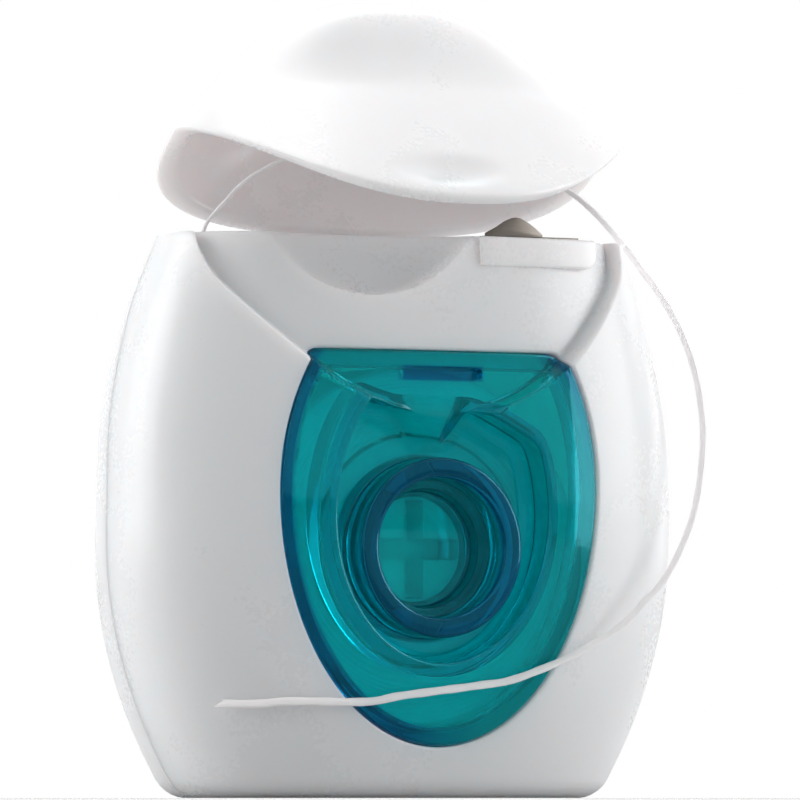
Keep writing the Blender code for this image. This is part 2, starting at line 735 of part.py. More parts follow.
def tongue(name):
    """The raised tongue, a rounded hump of sheet standing on the plate's left part."""
    low = CASE_HEIGHT
    peak = low + CUTTER_THICKNESS + TONGUE_HEIGHT
    left = CUTTER_LEFT_X
    right = left + TONGUE_WIDTH
    middle = left + TONGUE_WIDTH / 2
    shoulder = low + CUTTER_THICKNESS + TONGUE_SHOULDER
    outline = [(left, low), (left, shoulder)]
    for i in range(2 * EDGE_STEPS + 1):
        turn = pi / 2 + pi * TONGUE_SPREAD_SHARE * (1 / 2 - i / (2 * EDGE_STEPS))
        outline.append((middle + TONGUE_ROUND * cos(turn), peak - TONGUE_ROUND * (1 - sin(turn))))
    notch = TONGUE_NOTCH
    outline += [(right, shoulder), (right - notch, shoulder - notch / 2), (right - notch, low)]
    return prism(name, outline, CUTTER_FRONT_Y, CUTTER_FRONT_Y + CUTTER_THICKNESS)


def make_cutter(surface):
    plate = block("cutter", (CUTTER_LEFT_X, CUTTER_FRONT_Y, CASE_HEIGHT),
                  (CUTTER_RIGHT_X, CUTTER_BACK_Y, CASE_HEIGHT + CUTTER_THICKNESS))
    join(plate, tongue("tongue"))
    return finish(plate, "cutter", surface)


def lid_front_y(height):
    low = min(height, CASE_HEIGHT)
    depth = bowed(low, CASE_HALF_DEPTH, TOP_HALF_DEPTH, BASE_HALF_DEPTH)
    return case_centre_y(low) - depth - LID_PROUD


def lid_centre_y(height):
    return case_centre_y(min(height, CASE_HEIGHT)) - LID_CENTRE_FORWARD


def lid_ring(height, share, side, front):
    """One section of the lid; share runs from 0 at the rim to 1 at the crown."""
    low = min(height, CASE_HEIGHT)
    half_width = bowed(low, CASE_HALF_WIDTH, TOP_HALF_WIDTH, BASE_HALF_WIDTH) - side
    centre_y = lid_centre_y(height)
    front_reach = centre_y - lid_front_y(height) - front
    back_reach = TOP_CENTRE_Y + TOP_HALF_DEPTH - lid_centre_y(CASE_HEIGHT) - front
    across = half_width * (1 - share ** LID_SIDE_POWER) ** LID_NARROW_POWER
    along = (1 - share ** LID_DEPTH_POWER) ** (1 / LID_DEPTH_POWER)
    power = LID_RIM_POWER + (LID_CROWN_POWER - LID_RIM_POWER) * share
    middle_y = centre_y - LID_CROWN_FORWARD * share ** 2
    points = ring(across, 1, 0, height, power)
    return [(x, middle_y + y * along * (front_reach if y < 0 else back_reach), z)
            for x, y, z in points]


def lid_form(name, side=0.0, front=0.0, top=0.0):
    """The closed lid's form, from below its skirt to its crown, drawn in by three walls."""
    low = RIDGE_LOW_Z - OVERRUN
    rings = []
    for i in range(SKIRT_STEPS + 1):
        height = low + (CASE_HEIGHT - low) * i / SKIRT_STEPS
        rings.append(lid_ring(height, 0, side, front))
    for i in range(1, DOME_STEPS + 1):
        share = 1 - (1 - i / (DOME_STEPS + 1)) ** LID_LEVEL_POWER
        rings.append(lid_ring(CASE_HEIGHT + (LID_RISE - top) * share, share, side, front))
    peak_y = lid_centre_y(CASE_HEIGHT) - LID_CROWN_FORWARD
    return loft(name, rings, peak=(0, peak_y, CASE_HEIGHT + LID_RISE - top))


def lid_rim_z(x):
    return ridge_z(x, RIDGE_LOW_Z + LID_TO_RIDGE, RIDGE_HALF_WIDTH - LID_TO_RIDGE / 3)


def lid_underside(name):
    """Everything below the closed lid's rim: flat behind, with the skirt's curve in front."""
    low = RIDGE_LOW_Z - 2 * OVERRUN
    reach = CASE_HALF_WIDTH + OVERRUN
    half_width = RIDGE_HALF_WIDTH - LID_TO_RIDGE / 3
    outline = [(-reach, low), (-reach, CASE_HEIGHT + LID_GAP)]
    for i in range(RIDGE_POINTS):
        x = half_width * (2 * i / (RIDGE_POINTS - 1) - 1)
        outline.append((x, min(lid_rim_z(x), CASE_HEIGHT) + LID_GAP))
    outline += [(reach, CASE_HEIGHT + LID_GAP), (reach, low)]
    front_y = TOP_CENTRE_Y - CASE_HALF_DEPTH - OVERRUN
    below = prism(name, outline, front_y, LID_SKIRT_BACK_Y)
    back = block("below rim", (-reach, LID_SKIRT_BACK_Y - OVERRUN / 10, low),
                 (reach, CASE_HALF_WIDTH, CASE_HEIGHT + LID_GAP))
    return join(below, back)


def thumb_dent(name):
    """An egg-shaped cutter for the shallow dent above the lid's lip."""
    rim = RIDGE_LOW_Z + LID_TO_RIDGE
    height = rim + DENT_OVER_RIM
    face_y = lid_front_y(height)
    sink = 1 - DENT_DEPTH / DENT_REACH
    spread = sqrt(1 - sink ** 2)
    bm = bmesh.new()
    bmesh.ops.create_uvsphere(bm, u_segments=RING_POINTS // 2, v_segments=RING_POINTS // 4, radius=1)
    size = (DENT_HALF_WIDTH / spread, DENT_REACH, DENT_HALF_HEIGHT / spread)
    bmesh.ops.scale(bm, vec=size, verts=bm.verts)
    bmesh.ops.translate(bm, vec=(0, face_y - DENT_REACH * sink, height), verts=bm.verts)
    return add_object(name, bm)


def catch_bead(name):
    """The bead inside the lid's lip that snaps into the window's slot."""
    face_y = case_centre_y(CATCH_Z) - bowed(CATCH_Z, CASE_HALF_DEPTH, TOP_HALF_DEPTH, BASE_HALF_DEPTH)
    tip_y = face_y + LAND_DEPTH - SEAT_GAP
    root_y = face_y - LID_PROUD + LID_FRONT_WALL / 2
    half_height = CATCH_HEIGHT / 2 - SEAT_GAP / 2
    half_width = CATCH_WIDTH / 2 - 2 * SEAT_GAP
    tip = half_height / 2
    rings = []
    for y, size in ((root_y, half_height * 1.5), (tip_y, tip)):
        rings.append([(-half_width, y, CATCH_Z - size), (half_width, y, CATCH_Z - size),
                      (half_width, y, CATCH_Z + size), (-half_width, y, CATCH_Z + size)])
    return loft(name, rings)


def make_lid(surface):
    lid = lid_form("lid")
    cut(lid, lid_form("lid inside", LID_SIDE_WALL, LID_FRONT_WALL, LID_TOP_WALL))
    cut(lid, lid_underside("lid underside"), thumb_dent("dent"))
    join(lid, catch_bead("bead"))
    finish(lid, "lid", surface)
    lid.data.transform(Matrix.Translation(-HINGE_POINT))
    lid.location = HINGE_POINT
    lid.rotation_euler = (-LID_OPEN_ANGLE, 0, 0)
    return lid


def make_hinge_film(surface):
    """The living hinge: a thin strip up the case's back edge, ending round the hinge axis."""
    thick = HINGE_FILM
    low = HINGE_POINT.z - HINGE_ROOT
    outline = [(-thick / 2, low), (thick / 2, low)]
    for i in range(2 * EDGE_STEPS + 1):
        turn = pi * i / (2 * EDGE_STEPS)
        outline.append((thick / 2 * cos(turn), HINGE_POINT.z + thick / 2 * sin(turn)))
    half = HINGE_LENGTH / 2
    film = loft("film", [[(x, HINGE_Y + y, z) for y, z in outline] for x in (-half, half)])
    return finish(film, "hinge_film", surface)


def build():
    clear_scene()
    white = material("white plastic", (0.88, 0.87, 0.87), 0.28)
    teal = material("teal clear plastic", (0.0, 0.30, 0.34), 0.06, transmission=0.8)
    steel = material("cutter steel", (0.30, 0.28, 0.26), 0.35, metallic=1.0)
    pale = material("bobbin plastic", (0.70, 0.74, 0.74), 0.4)
    waxed = material("waxed floss", (0.86, 0.84, 0.84), 0.55)
    make_front_shell(white)
    make_rear_shell(white)
    make_window(teal)
    make_lid(white)
    make_hinge_film(white)
    make_cutter(steel)
    make_bobbin(pale)
    make_floss_core(waxed)
    make_floss(waxed)


build()
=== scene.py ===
"""Looks for a flip-top dental floss dispenser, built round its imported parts, in metres."""

from math import cos, pi, radians, sin

import bmesh
import bpy
import numpy as np
from mathutils import Matrix, Vector


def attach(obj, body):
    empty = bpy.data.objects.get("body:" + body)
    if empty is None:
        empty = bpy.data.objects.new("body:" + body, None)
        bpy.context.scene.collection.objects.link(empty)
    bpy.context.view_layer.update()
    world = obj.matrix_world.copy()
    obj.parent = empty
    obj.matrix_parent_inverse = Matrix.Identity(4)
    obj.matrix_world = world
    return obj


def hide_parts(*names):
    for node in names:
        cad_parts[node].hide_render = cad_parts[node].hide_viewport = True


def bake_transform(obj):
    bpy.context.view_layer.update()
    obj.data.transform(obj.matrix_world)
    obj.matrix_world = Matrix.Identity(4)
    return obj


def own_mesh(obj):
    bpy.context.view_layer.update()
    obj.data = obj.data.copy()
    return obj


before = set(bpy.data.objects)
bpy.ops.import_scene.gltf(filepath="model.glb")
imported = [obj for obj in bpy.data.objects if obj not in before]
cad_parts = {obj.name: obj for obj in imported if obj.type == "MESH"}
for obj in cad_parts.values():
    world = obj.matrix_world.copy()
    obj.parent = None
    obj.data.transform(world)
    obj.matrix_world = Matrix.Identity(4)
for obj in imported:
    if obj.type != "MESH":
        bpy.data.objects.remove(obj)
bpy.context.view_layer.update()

# Case
CASE_TOP = 0.0490
WIDEST_Z = 0.0230
MIDDLE_WIDTH, TOP_WIDTH, BASE_WIDTH = 0.0270, 0.0222, 0.0200
MIDDLE_DEPTH, TOP_DEPTH, BASE_DEPTH = 0.0119, 0.00935, 0.0102
BASE_Y, TOP_Y = 0.0018, -0.00045
SIDE_POWER, LEAN_POWER, ROUND_POWER = 2.1, 2.2, 2.5
BASE_ROUND = 0.0015
DECK_ROUND = 0.00035
WALL = 0.0013
PARTING_Y = 0.0015
SEAM = 0.0001
CAVITY_COLUMNS, CAVITY_STEP = 120, 0.0012
HALF_LOW, HALF_HIGH = (-0.04, -0.03, -0.01), (0.04, 0.03, 0.06)

# Where the right shoulder comes in and the left flank goes out
SHOULDER_IN, SHOULDER_Z = 0.00075, (0.0300, 0.0460)
FLANK_OUT, FLANK_LOW, FLANK_HIGH = 0.0004, (0.0250, 0.0350), (0.0420, 0.0490)
SIDE_SHARE = (0.7, 1.0)

# Rear shell: outlet, lip, post and ring
OUTLET_X, OUTLET_Y, OUTLET_RADIUS, OUTLET_DEPTH = -0.0170, 0.0030, 0.0008, 0.006
LIP_GAP, LIP_INNER, LIP_FRONT, LIP_BACK = 0.00008, 0.0022, 0.0004, 0.0026
POST_RADIUS, POST_FRONT, POST_BACK, POST_ROUND = 0.0047, -0.0039, 0.0130, 0.0004
RING_INNER, RING_OUTER, RING_FRONT, RING_BACK = 0.0082, 0.0094, 0.0089, 0.0125

# Land, scoop and ledge
LAND_DEPTH = 0.0017
RIDGE_LOW, RIDGE_RISE, RIDGE_HALF, RIDGE_POWER = 0.0331, 0.0109, 0.01855, 2.05
RIDGE_SIDE, RIDGE_SIDE_RIGHT, RIDGE_CORNER = 0.0203, 0.0005, 0.0015
RIDGE_SHIFT, RIDGE_SHIFT_LOW, RIDGE_SHIFT_HIGH = 0.0007, 0.0370, 0.0440
RIDGE_START, RIDGE_END = -0.00035, 0.00065
SCOOP_X, SCOOP_Y, SCOOP_Z = -0.0062, -0.0081, 0.0551
SCOOP_RADIUS, SCOOP_REACH, SCOOP_SOFT = 0.0114, 0.0045, 0.0005
LEDGE_LEFT, LEDGE_RIGHT, LEDGE_TALL = 0.0044, 0.0167, 0.0026
LEDGE_PROUD, LEDGE_BACK, LEDGE_CORNER, LEDGE_ROUND, LEDGE_FLAT = 0.00035, -0.0050, 0.0013, 0.00022, 0.28

# Window
WINDOW_WIDTH, WINDOW_MIDDLE, WINDOW_DROP, WINDOW_RISE = 0.01545, 0.0267, 0.0223, 0.0195
WINDOW_TOP = 0.0389
WINDOW_GAP, WINDOW_WALL, WINDOW_RIM = 0.00012, 0.0012, 0.0013
WINDOW_EDGE, OPENING_EDGE = 0.00025, 0.00030
FLANGE_REACH, FLANGE_FRONT, FLANGE_BACK = 0.0009, 0.0016, 0.0034
RIM_CHAMFER, RIM_FILLET = 0.0002, 0.0003
POCKET_WIDTH, POCKET_MIDDLE, POCKET_DROP, POCKET_RISE = 0.0103, 0.0245, 0.0128, 0.0140
POCKET_FLOOR, POCKET_ROUND, POCKET_LIP, POCKET_TO_RIDGE = -0.0066, 0.0012, 0.00035, 0.0003
OPEN_TURN, OPEN_LIP, OPEN_FOOT, INNER_ROUND = (0.955, 0.993), 0.0014, 0.0030, 0.0006
CORNER_CUT, CORNER_X, CORNER_Z = 0.0124, 0.4624, 0.8863
HUB_Z = 0.0217
HUB_RADIUS, HUB_FRONT, HUB_BACK = 0.00785, -0.0097, 0.0030
MOUTH_RADIUS, MOUTH_FLOOR, BORE_RADIUS = 0.0061, -0.0066, 0.0051
END_FRONT, END_BACK = -0.0050, -0.0042
HUB_ROUND = 0.0004
CROSS_WIDTH, CROSS_LENGTH, CROSS_FRONT, CROSS_BACK = 0.0019, 0.0088, -0.0062, -0.0005
SLOT_X, SLOT_Z, SLOT_WIDTH, SLOT_TALL, SLOT_DEPTH = 0.00045, 0.0369, 0.0077, 0.0011, 0.0010

# Lid, held open about its hinge
LID_OPEN = radians(41.5)
HINGE = Vector((0, 0.0092, 0.04915))
HINGE_LENGTH, HINGE_FILM, HINGE_ROOT = 0.0165, 0.0003, 0.0011
LID_RISE, LID_FORWARD, CROWN_FORWARD = 0.0117, 0.0010, 0.0030
LID_POWER, LID_POWER_RISE = 2.6, 0.4
DOME_POWER, DOME_END, CROWN_POWER = 0.85, 0.41, 3.4
LID_SIDE, LID_FRONT, LID_TOP = 0.0019, 0.0012, 0.0013
LID_PROUD, LID_GAP = 0.0005, 0.0003
LID_LEAN_FRONT, LID_LEAN_BACK = 0.105, -0.200
SKIRT_LOW, SKIRT_RISE, SKIRT_HALF, SKIRT_POWER = 0.03455, 0.01335, 0.02217, 2.42
SKIRT_END, SKIRT_SIDE, SKIRT_BACK = 0.0003, (0.0196, 0.0218), (-0.0066, -0.0022)
RIM_OUTER_ROUND, RIM_INNER_ROUND = 0.00040, 0.00035
DENT_X, DENT_Z, DENT_WIDTH, DENT_TALL, DENT_DEPTH = -0.0009, 0.0381, 0.0058, 0.0022, 0.00048
BEAD_HALF, BEAD_TALL, BEAD_OUT, BEAD_IN, BEAD_EDGE = 0.0033, 0.0005, 0.0016, 0.0002, 0.0003

# Cutter; the tongue's outline is in millimetres
SEAT_LOW, SEAT_HIGH = (0.0063, -0.0055, 0.0487), (0.0161, -0.0013, 0.0510)
PLATE_LOW, PLATE_HIGH, STEEL_EDGE = (0.0066, -0.0052, 0.04880), (0.0158, -0.0016, 0.04928), 0.00004
TONGUE_THICK = 0.00028
TONGUE = [(6.60, 48.9), (6.60, 49.50), (7.63, 50.03), (8.45, 50.55), (8.82, 50.73), (9.20, 50.88),
          (9.60, 50.94), (9.95, 50.90), (10.20, 50.82), (10.89, 50.47), (11.53, 50.03), (12.20, 49.50),
          (12.25, 49.36), (12.17, 49.24), (12.03, 49.20), (12.03, 48.9)]

# Floss
FLOSS_WIDTH, FLOSS_THICK, LOOP_KEEP = 0.0008, 0.00026, 0.15
WOUND_OUTER, WOUND_INNER, WOUND_FRONT, WOUND_BACK = 0.0159, 0.0102, -0.00425, 0.0070
WOUND_ROUND, WOUND_PITCH, STRAND_RISE, LAYER_RISE = 0.0009, 0.00042, 0.00008, 0.00010
BOBBIN_BORE, BOBBIN_WALL, BOBBIN_FRONT, BOBBIN_BACK = 0.00815, 0.00105, -0.0046, 0.0086
COLLAR_RISE, COLLAR_WIDE, COLLAR_ROUND = 0.0007, 0.0008, 0.0002
LOOP_ROUTE = [
    (-.0170, .0030, .0493), (-.0166, .0030, .0502), (-.0159, .0026, .0512), (-.0152, .0018, .0522),
    (-.0147, .0010, .0531), (-.0141, .0002, .0538), (-.0132, -.0008, .0546), (-.0117, -.0022, .0555),
    (-.0090, -.0040, .0563), (-.0049, -.0055, .0567), (0, -.0063, .0567), (.0049, -.0064, .0563),
    (.0096, -.0058, .0555), (.0144, -.0044, .0539), (.0171, -.0032, .0528), (.0198, -.0017, .0514),
    (.0215, -.0008, .0503), (.0226, -.0002, .0495), (.0229, -.0002, .0492)]
TAIL_ROUTE = [
    (.0231, -.0003, .0490), (.0236, -.0006, .0482), (.0242, -.0011, .0471), (.0250, -.0025, .0452),
    (.0256, -.0035, .0436), (.0262, -.0045, .0417), (.0268, -.0055, .0392), (.0273, -.0060, .0366),
    (.0275, -.0065, .0336), (.0273, -.0070, .0316), (.0267, -.0075, .0281), (.0256, -.0080, .0245),
    (.0236, -.0086, .0209), (.0218, -.0090, .0186), (.0202, -.0093, .0173), (.0185, -.0095, .0157),
    (.0163, -.0097, .0142), (.0142, -.0099, .0132), (.0116, -.0101, .0120), (.0067, -.0102, .0103),
    (.0036, -.0102, .0098), (-.0004, -.0102, .0093), (-.0044, -.0101, .0088), (-.0073, -.0098, .0083),
    (-.0124, -.0092, .0083), (-.0148, -.0086, .0083), (-.0171, -.0079, .0081), (-.0200, -.0066, .0081)]
LEAD_ROUTE = [(-.01657, .0068, .0244), (-.0168, .0054, .0330), (-.0170, .0036, .0450), (-.0170, .0030, .0492)]

# Camera, and soft boxes by name, turn to the right of the camera, rise and radiance
VIEW_TURN = radians(27)
VIEW_DISTANCE, FOCAL_PIXELS, VIEW_PIXELS, SENSOR = 0.790, 9006, 800, 36
AIM_RIGHT, AIM_Z = 0.0007, 0.0349
TO_CAMERA = Vector((-sin(VIEW_TURN), -cos(VIEW_TURN), 0))
TO_RIGHT = Vector((cos(VIEW_TURN), -sin(VIEW_TURN), 0))
AMBIENT = 0.22
LAMP_DISTANCE, LAMP_SIZE, LAMP_AIM_Z = 0.55, (0.28, 0.6), 0.035
LAMPS = [("left box", -85, 10, 2.4), ("left front box", -62, 3, 3.9), ("left high box", -85, 50, 0.4),
         ("right box", 88, 8, 4.5), ("right high box", 95, 35, 0.4), ("right back box", 125, 10, 1.2),
         ("top box", 180, 84, 3.0), ("back box", 180, 45, 2.2)]
MERGE = 2e-7


# ---- making meshes ----

def object_from(name, bm):
    bmesh.ops.recalc_face_normals(bm, faces=bm.faces)
    mesh = bpy.data.meshes.new(name)
    bm.to_mesh(mesh)
    bm.free()
    thing = bpy.data.objects.new(name, mesh)
    bpy.context.scene.collection.objects.link(thing)
    return thing


def skin(name, rows):
    """A closed surface through rings of points, whose first and last rings are points."""
    rows = np.concatenate([rows, rows[:, :1]], axis=1)
    tall, wide = rows.shape[0] - 1, rows.shape[1] - 1
    bm = bmesh.new()
    bm.loops.layers.uv.new("UVMap")
    bmesh.ops.create_grid(bm, x_segments=wide, y_segments=tall, size=1, calc_uvs=True)
    for vert in bm.verts:
        column = round((vert.co.x + 1) / 2 * wide)
        row = round((vert.co.y + 1) / 2 * tall)
        vert.co = rows[row, column]
    bmesh.ops.remove_doubles(bm, verts=bm.verts, dist=MERGE)
    return object_from(name, bm)


def block(name, low, high, edge=0.0):
    bm = bmesh.new()
    bmesh.ops.create_cube(bm, size=1)
    bmesh.ops.scale(bm, vec=Vector(high) - Vector(low), verts=bm.verts)
    bmesh.ops.translate(bm, vec=(Vector(high) + Vector(low)) / 2, verts=bm.verts)
    if edge:
        bmesh.ops.bevel(bm, geom=bm.edges, offset=edge, segments=3, profile=0.5,
                        affect="EDGES", material=-1)
    return object_from(name, bm)


def combine(target, other, operation):
    step = target.modifiers.new(operation, "BOOLEAN")
    step.operation = operation
    step.solver = "EXACT"
    step.object = other
    mesh = bpy.data.meshes.new_from_object(
        target.evaluated_get(bpy.context.evaluated_depsgraph_get()))
    target.modifiers.remove(step)
    target.data = mesh
    bpy.data.objects.remove(other, do_unlink=True)
    return target


def cut(target, *others):
    for other in others:
        combine(target, other, "DIFFERENCE")
    return target


def gather(target, *others):
    """Put other meshes into the same object, each still closed."""
    bm = bmesh.new()
    for thing in (target, *others):
        bm.from_mesh(thing.data)
    bm.to_mesh(target.data)
    bm.free()
    for other in others:
        bpy.data.objects.remove(other, do_unlink=True)
    return target


def dress(thing, surface, body, nodes, sharp=35):
    """Give a finished piece its material and its place in the frame."""
    thing.data.materials.clear()
    thing.data.materials.append(surface)
    thing.data.shade_smooth()
    thing.data.set_sharp_from_angle(angle=radians(sharp))
    if body:
        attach(thing, body)
    if nodes:
        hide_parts(*nodes)
    return thing


def smooth_step(value, low, high):
    share = np.clip((value - low) / (high - low), 0, 1)
    return share * share * (3 - 2 * share)


def quarter(steps):
    """Angles from 0 to a quarter turn."""
    return [pi / 2 * i / steps for i in range(steps + 1)]


def points(x, y, z):
    x, y, z = np.broadcast_arrays(x, y, z)
    return np.stack([x, y, z], axis=-1)


# ---- the case's form ----

def bowed(z, middle, top, base):
    span = np.where(z > WIDEST_Z, CASE_TOP - WIDEST_Z, WIDEST_Z)
    end = np.where(z > WIDEST_Z, top, base)
    return middle - (middle - end) * (np.abs(z - WIDEST_Z) / span) ** SIDE_POWER


def middle_y(z):
    return BASE_Y + (TOP_Y - BASE_Y) * (np.maximum(z, 0) / CASE_TOP) ** LEAN_POWER


def half_width(z, inset):
    return bowed(z, MIDDLE_WIDTH, TOP_WIDTH, BASE_WIDTH) - inset


def half_depth(z, inset):
    return bowed(z, MIDDLE_DEPTH, TOP_DEPTH, BASE_DEPTH) - inset


def barrel_y(x, z, inset):
    share = np.clip(np.abs(x) / half_width(z, inset), 0, 1)
    return middle_y(z) - half_depth(z, inset) * (1 - share ** ROUND_POWER) ** (1 / ROUND_POWER)


def ridge_z(x):
    return RIDGE_LOW + RIDGE_RISE * (np.abs(x) / RIDGE_HALF) ** RIDGE_POWER


def past_ridge(x, z):
    """How far a point lies inside the land, across its ridge."""
    x = x + RIDGE_SHIFT * smooth_step(z, RIDGE_SHIFT_LOW, RIDGE_SHIFT_HIGH)
    slope = RIDGE_POWER * RIDGE_RISE / RIDGE_HALF * (np.abs(x) / RIDGE_HALF) ** (RIDGE_POWER - 1)
    above = (z - ridge_z(x)) / np.sqrt(1 + slope ** 2)
    within = RIDGE_SIDE + RIDGE_SIDE_RIGHT * (x > 0) - np.abs(x)
    near = np.clip(RIDGE_CORNER - np.abs(above - within), 0, None)
    return np.minimum(above, within) - near ** 2 / (4 * RIDGE_CORNER)


def face_y(x, z, inset=0.0):
    """The case's front with its land and thumb scoop."""
    plain = barrel_y(x, z, inset)
    floor = barrel_y(x, z, inset + LAND_DEPTH)
    y = plain + (floor - plain) * smooth_step(past_ridge(x, z), RIDGE_START, RIDGE_END)
    radius = SCOOP_RADIUS + inset
    share = 1 - ((x - SCOOP_X) / radius) ** 2 - ((z - SCOOP_Z) / radius) ** 2
    scoop = SCOOP_Y + (SCOOP_REACH + inset) * np.sign(share) * np.sqrt(np.abs(share))
    near = np.clip(SCOOP_SOFT - np.abs(y - scoop), 0, None) / SCOOP_SOFT
    return np.maximum(y, scoop) + near ** 2 * SCOOP_SOFT / 4


def sideways(x, z, inset):
    """How far the right shoulder and the left flank are moved to the left."""
    share = smooth_step(np.abs(x) / half_width(z, inset), *SIDE_SHARE)
    flank = FLANK_OUT * smooth_step(z, *FLANK_LOW) * (1 - smooth_step(z, *FLANK_HIGH))
    return share * np.where(x > 0, SHOULDER_IN * smooth_step(z, *SHOULDER_Z), flank)


def barrel_ring(z, inset, columns):
    """One level ring, left to right along the front and home along the back."""
    turn = np.radians(np.linspace(-90, 90, columns + 1))
    x = half_width(z, inset) * np.sin(turn)
    y_front = face_y(x, z, inset)
    y_front[0] = y_front[-1] = middle_y(z)
    y_back = 2 * middle_y(z) - barrel_y(x, z, inset)
    x = x - sideways(x, z, inset)
    return points(np.append(x, x[-2:0:-1]), np.append(y_front, y_back[-2:0:-1]), z)


def closing(ring, line_y):
    """Rings that close a level ring, drawn in to a line across its middle."""
    rings = []
    for share in (0.9, 0.5, 0):
        drawn = ring.copy()
        drawn[:, 1] = line_y + (ring[:, 1] - line_y) * share
        rings.append(drawn)
    return rings


def barrel(name, columns, step, fine_step, inset=0.0, low=0.0, high=CASE_TOP):
    levels = []
    for turn in quarter(5):
        levels.append((low + BASE_ROUND * (1 - cos(turn)), inset + BASE_ROUND * (1 - sin(turn))))
    z = levels[-1][0]
    while z < high - DECK_ROUND - fine_step:
        z += step if z < RIDGE_LOW - 2 * LAND_DEPTH else fine_step
        levels.append((min(z, high - DECK_ROUND), inset))
    for turn in quarter(4)[1:]:
        levels.append((high - DECK_ROUND * (1 - sin(turn)), inset + DECK_ROUND * (1 - cos(turn))))
    rings = [barrel_ring(z, size, columns) for z, size in levels]
    under = closing(rings[0], middle_y(levels[0][0]))[::-1]
    over = closing(rings[-1], middle_y(levels[-1][0]))
    return skin(name, np.stack(under + rings + over))


# ---- outlines seen from the front ----

def outline(level, centre_x, centre_z, turns, reach=2 * CASE_TOP):
    """Where rays from a centre leave the region in which a level stays below 1."""
    low = np.zeros_like(turns)
    high = np.full_like(turns, reach)
    for _ in range(40):
        middle = (low + high) / 2
        inside = level(centre_x + middle * np.cos(turns), centre_z + middle * np.sin(turns)) < 1
        low = np.where(inside, middle, low)
        high = np.where(inside, high, middle)
    return centre_x + low * np.cos(turns), centre_z + low * np.sin(turns)


def egg(x, z, width, middle_z, drop, rise):
    tall = np.where(z > middle_z, rise, drop)
    return np.sqrt((x / width) ** 2 + ((z - middle_z) / tall) ** 2)


def soft_corner(first, second, power):
    return (np.abs(first) ** power + np.clip(second, 0, None) ** power) ** (1 / power)


def window_edge(grow, turns, centre_z=WINDOW_MIDDLE):
    def level(x, z):
        around = egg(x, z, WINDOW_WIDTH + grow, WINDOW_MIDDLE, WINDOW_DROP + grow, WINDOW_RISE + grow)
        return soft_corner(around, (z - WINDOW_MIDDLE) / (WINDOW_TOP + grow - WINDOW_MIDDLE), 60)
    return outline(level, 0, centre_z, turns)


def pocket_edge(grow, turns):
    def level(x, z):
        around = egg(x, z, POCKET_WIDTH + grow, POCKET_MIDDLE, POCKET_DROP + grow, POCKET_RISE + grow)
        top = ridge_z(x) + POCKET_TO_RIDGE + grow
        right = (x * CORNER_X + (z - HUB_Z) * CORNER_Z) / (CORNER_CUT + grow)
        return soft_corner(soft_corner(around, (z - HUB_Z) / (top - HUB_Z), 40), right, 40)
    return outline(level, 0, HUB_Z, turns)


def opening_cutter():
    turns = np.linspace(0, 2 * pi, 361)[:-1]
    rows = []
    x, z = window_edge(0, turns)
    middle = points(np.zeros_like(turns), -0.0030, WINDOW_MIDDLE)
    rows += [middle, points(x, -0.0030, z), points(x, face_y(x, z) + OPENING_EDGE * 2, z)]
    for turn in quarter(5):
        x, z = window_edge(OPENING_EDGE * (1 - cos(turn)), turns)
        rows.append(points(x, face_y(x, z) + OPENING_EDGE * (1 - sin(turn)), z))
    x, z = window_edge(OPENING_EDGE * 1.2, turns)
    rows += [points(x, face_y(x, z) - OPENING_EDGE / 4, z), points(x, -0.0160, z)]
    rows.append(points(np.zeros_like(turns), -0.0160, WINDOW_MIDDLE))
    return skin("opening", np.stack(rows))


def ledge_form():
    """The rib under the cutter, with a rounded right corner and soft edges."""
    turns = np.linspace(0, 2 * pi, 201)[:-1]
    middle_x, middle_z = (LEDGE_LEFT + LEDGE_RIGHT) / 2, CASE_TOP - LEDGE_TALL / 2
    reach_x, reach_z = (LEDGE_RIGHT - LEDGE_LEFT) / 2, LEDGE_TALL / 2

    def ring_at(inset):
        def level(x, z):
            up, over = (z - middle_z) / (reach_z - inset), (x - middle_x) / (reach_x - inset)
            square = np.maximum(np.abs(up), np.abs(over))
            corner = LEDGE_CORNER - inset
            dx = (x - (middle_x + reach_x - inset - corner)) / corner
            dz = -(z - (middle_z - reach_z + inset + corner)) / corner
            rounded = np.where((dx > 0) & (dz > 0), np.hypot(dx, dz), 0)
            return np.maximum(square, rounded)
        return outline(level, middle_x, middle_z, turns, CASE_TOP)

    left_y = barrel_y(np.array([LEDGE_LEFT]), middle_z, LAND_DEPTH - LEDGE_PROUD)

    def front(x, z):
        curved = barrel_y(x, z, LAND_DEPTH - LEDGE_PROUD)
        return curved + (left_y - curved) * LEDGE_FLAT

    rows = []
    x, z = ring_at(0)
    rows += [points(np.full_like(x, middle_x), LEDGE_BACK, middle_z), points(x, LEDGE_BACK, z)]
    for turn in quarter(4):
        x, z = ring_at(LEDGE_ROUND * (1 - cos(turn)))
        rows.append(points(x, front(x, z) + LEDGE_ROUND * (1 - sin(turn)), z))
    for share in (0.75, 0.5, 0.25, 0):
        x_in, z_in = middle_x + (x - middle_x) * share, middle_z + (z - middle_z) * share
        rows.append(points(x_in, front(x_in, z_in), z_in))
    return skin("ledge", np.stack(rows))


# ---- turned forms ----

def turned(name, profile, columns=180):
    """Turn a profile of (radius, y) about the hub's axis. It starts and ends on the axis or closes."""
    turns = np.linspace(0, 2 * pi, columns + 1)[:-1]
    rows = [points(r * np.cos(turns), y, HUB_Z + r * np.sin(turns)) for r, y in profile]
    return skin(name, np.stack(rows))


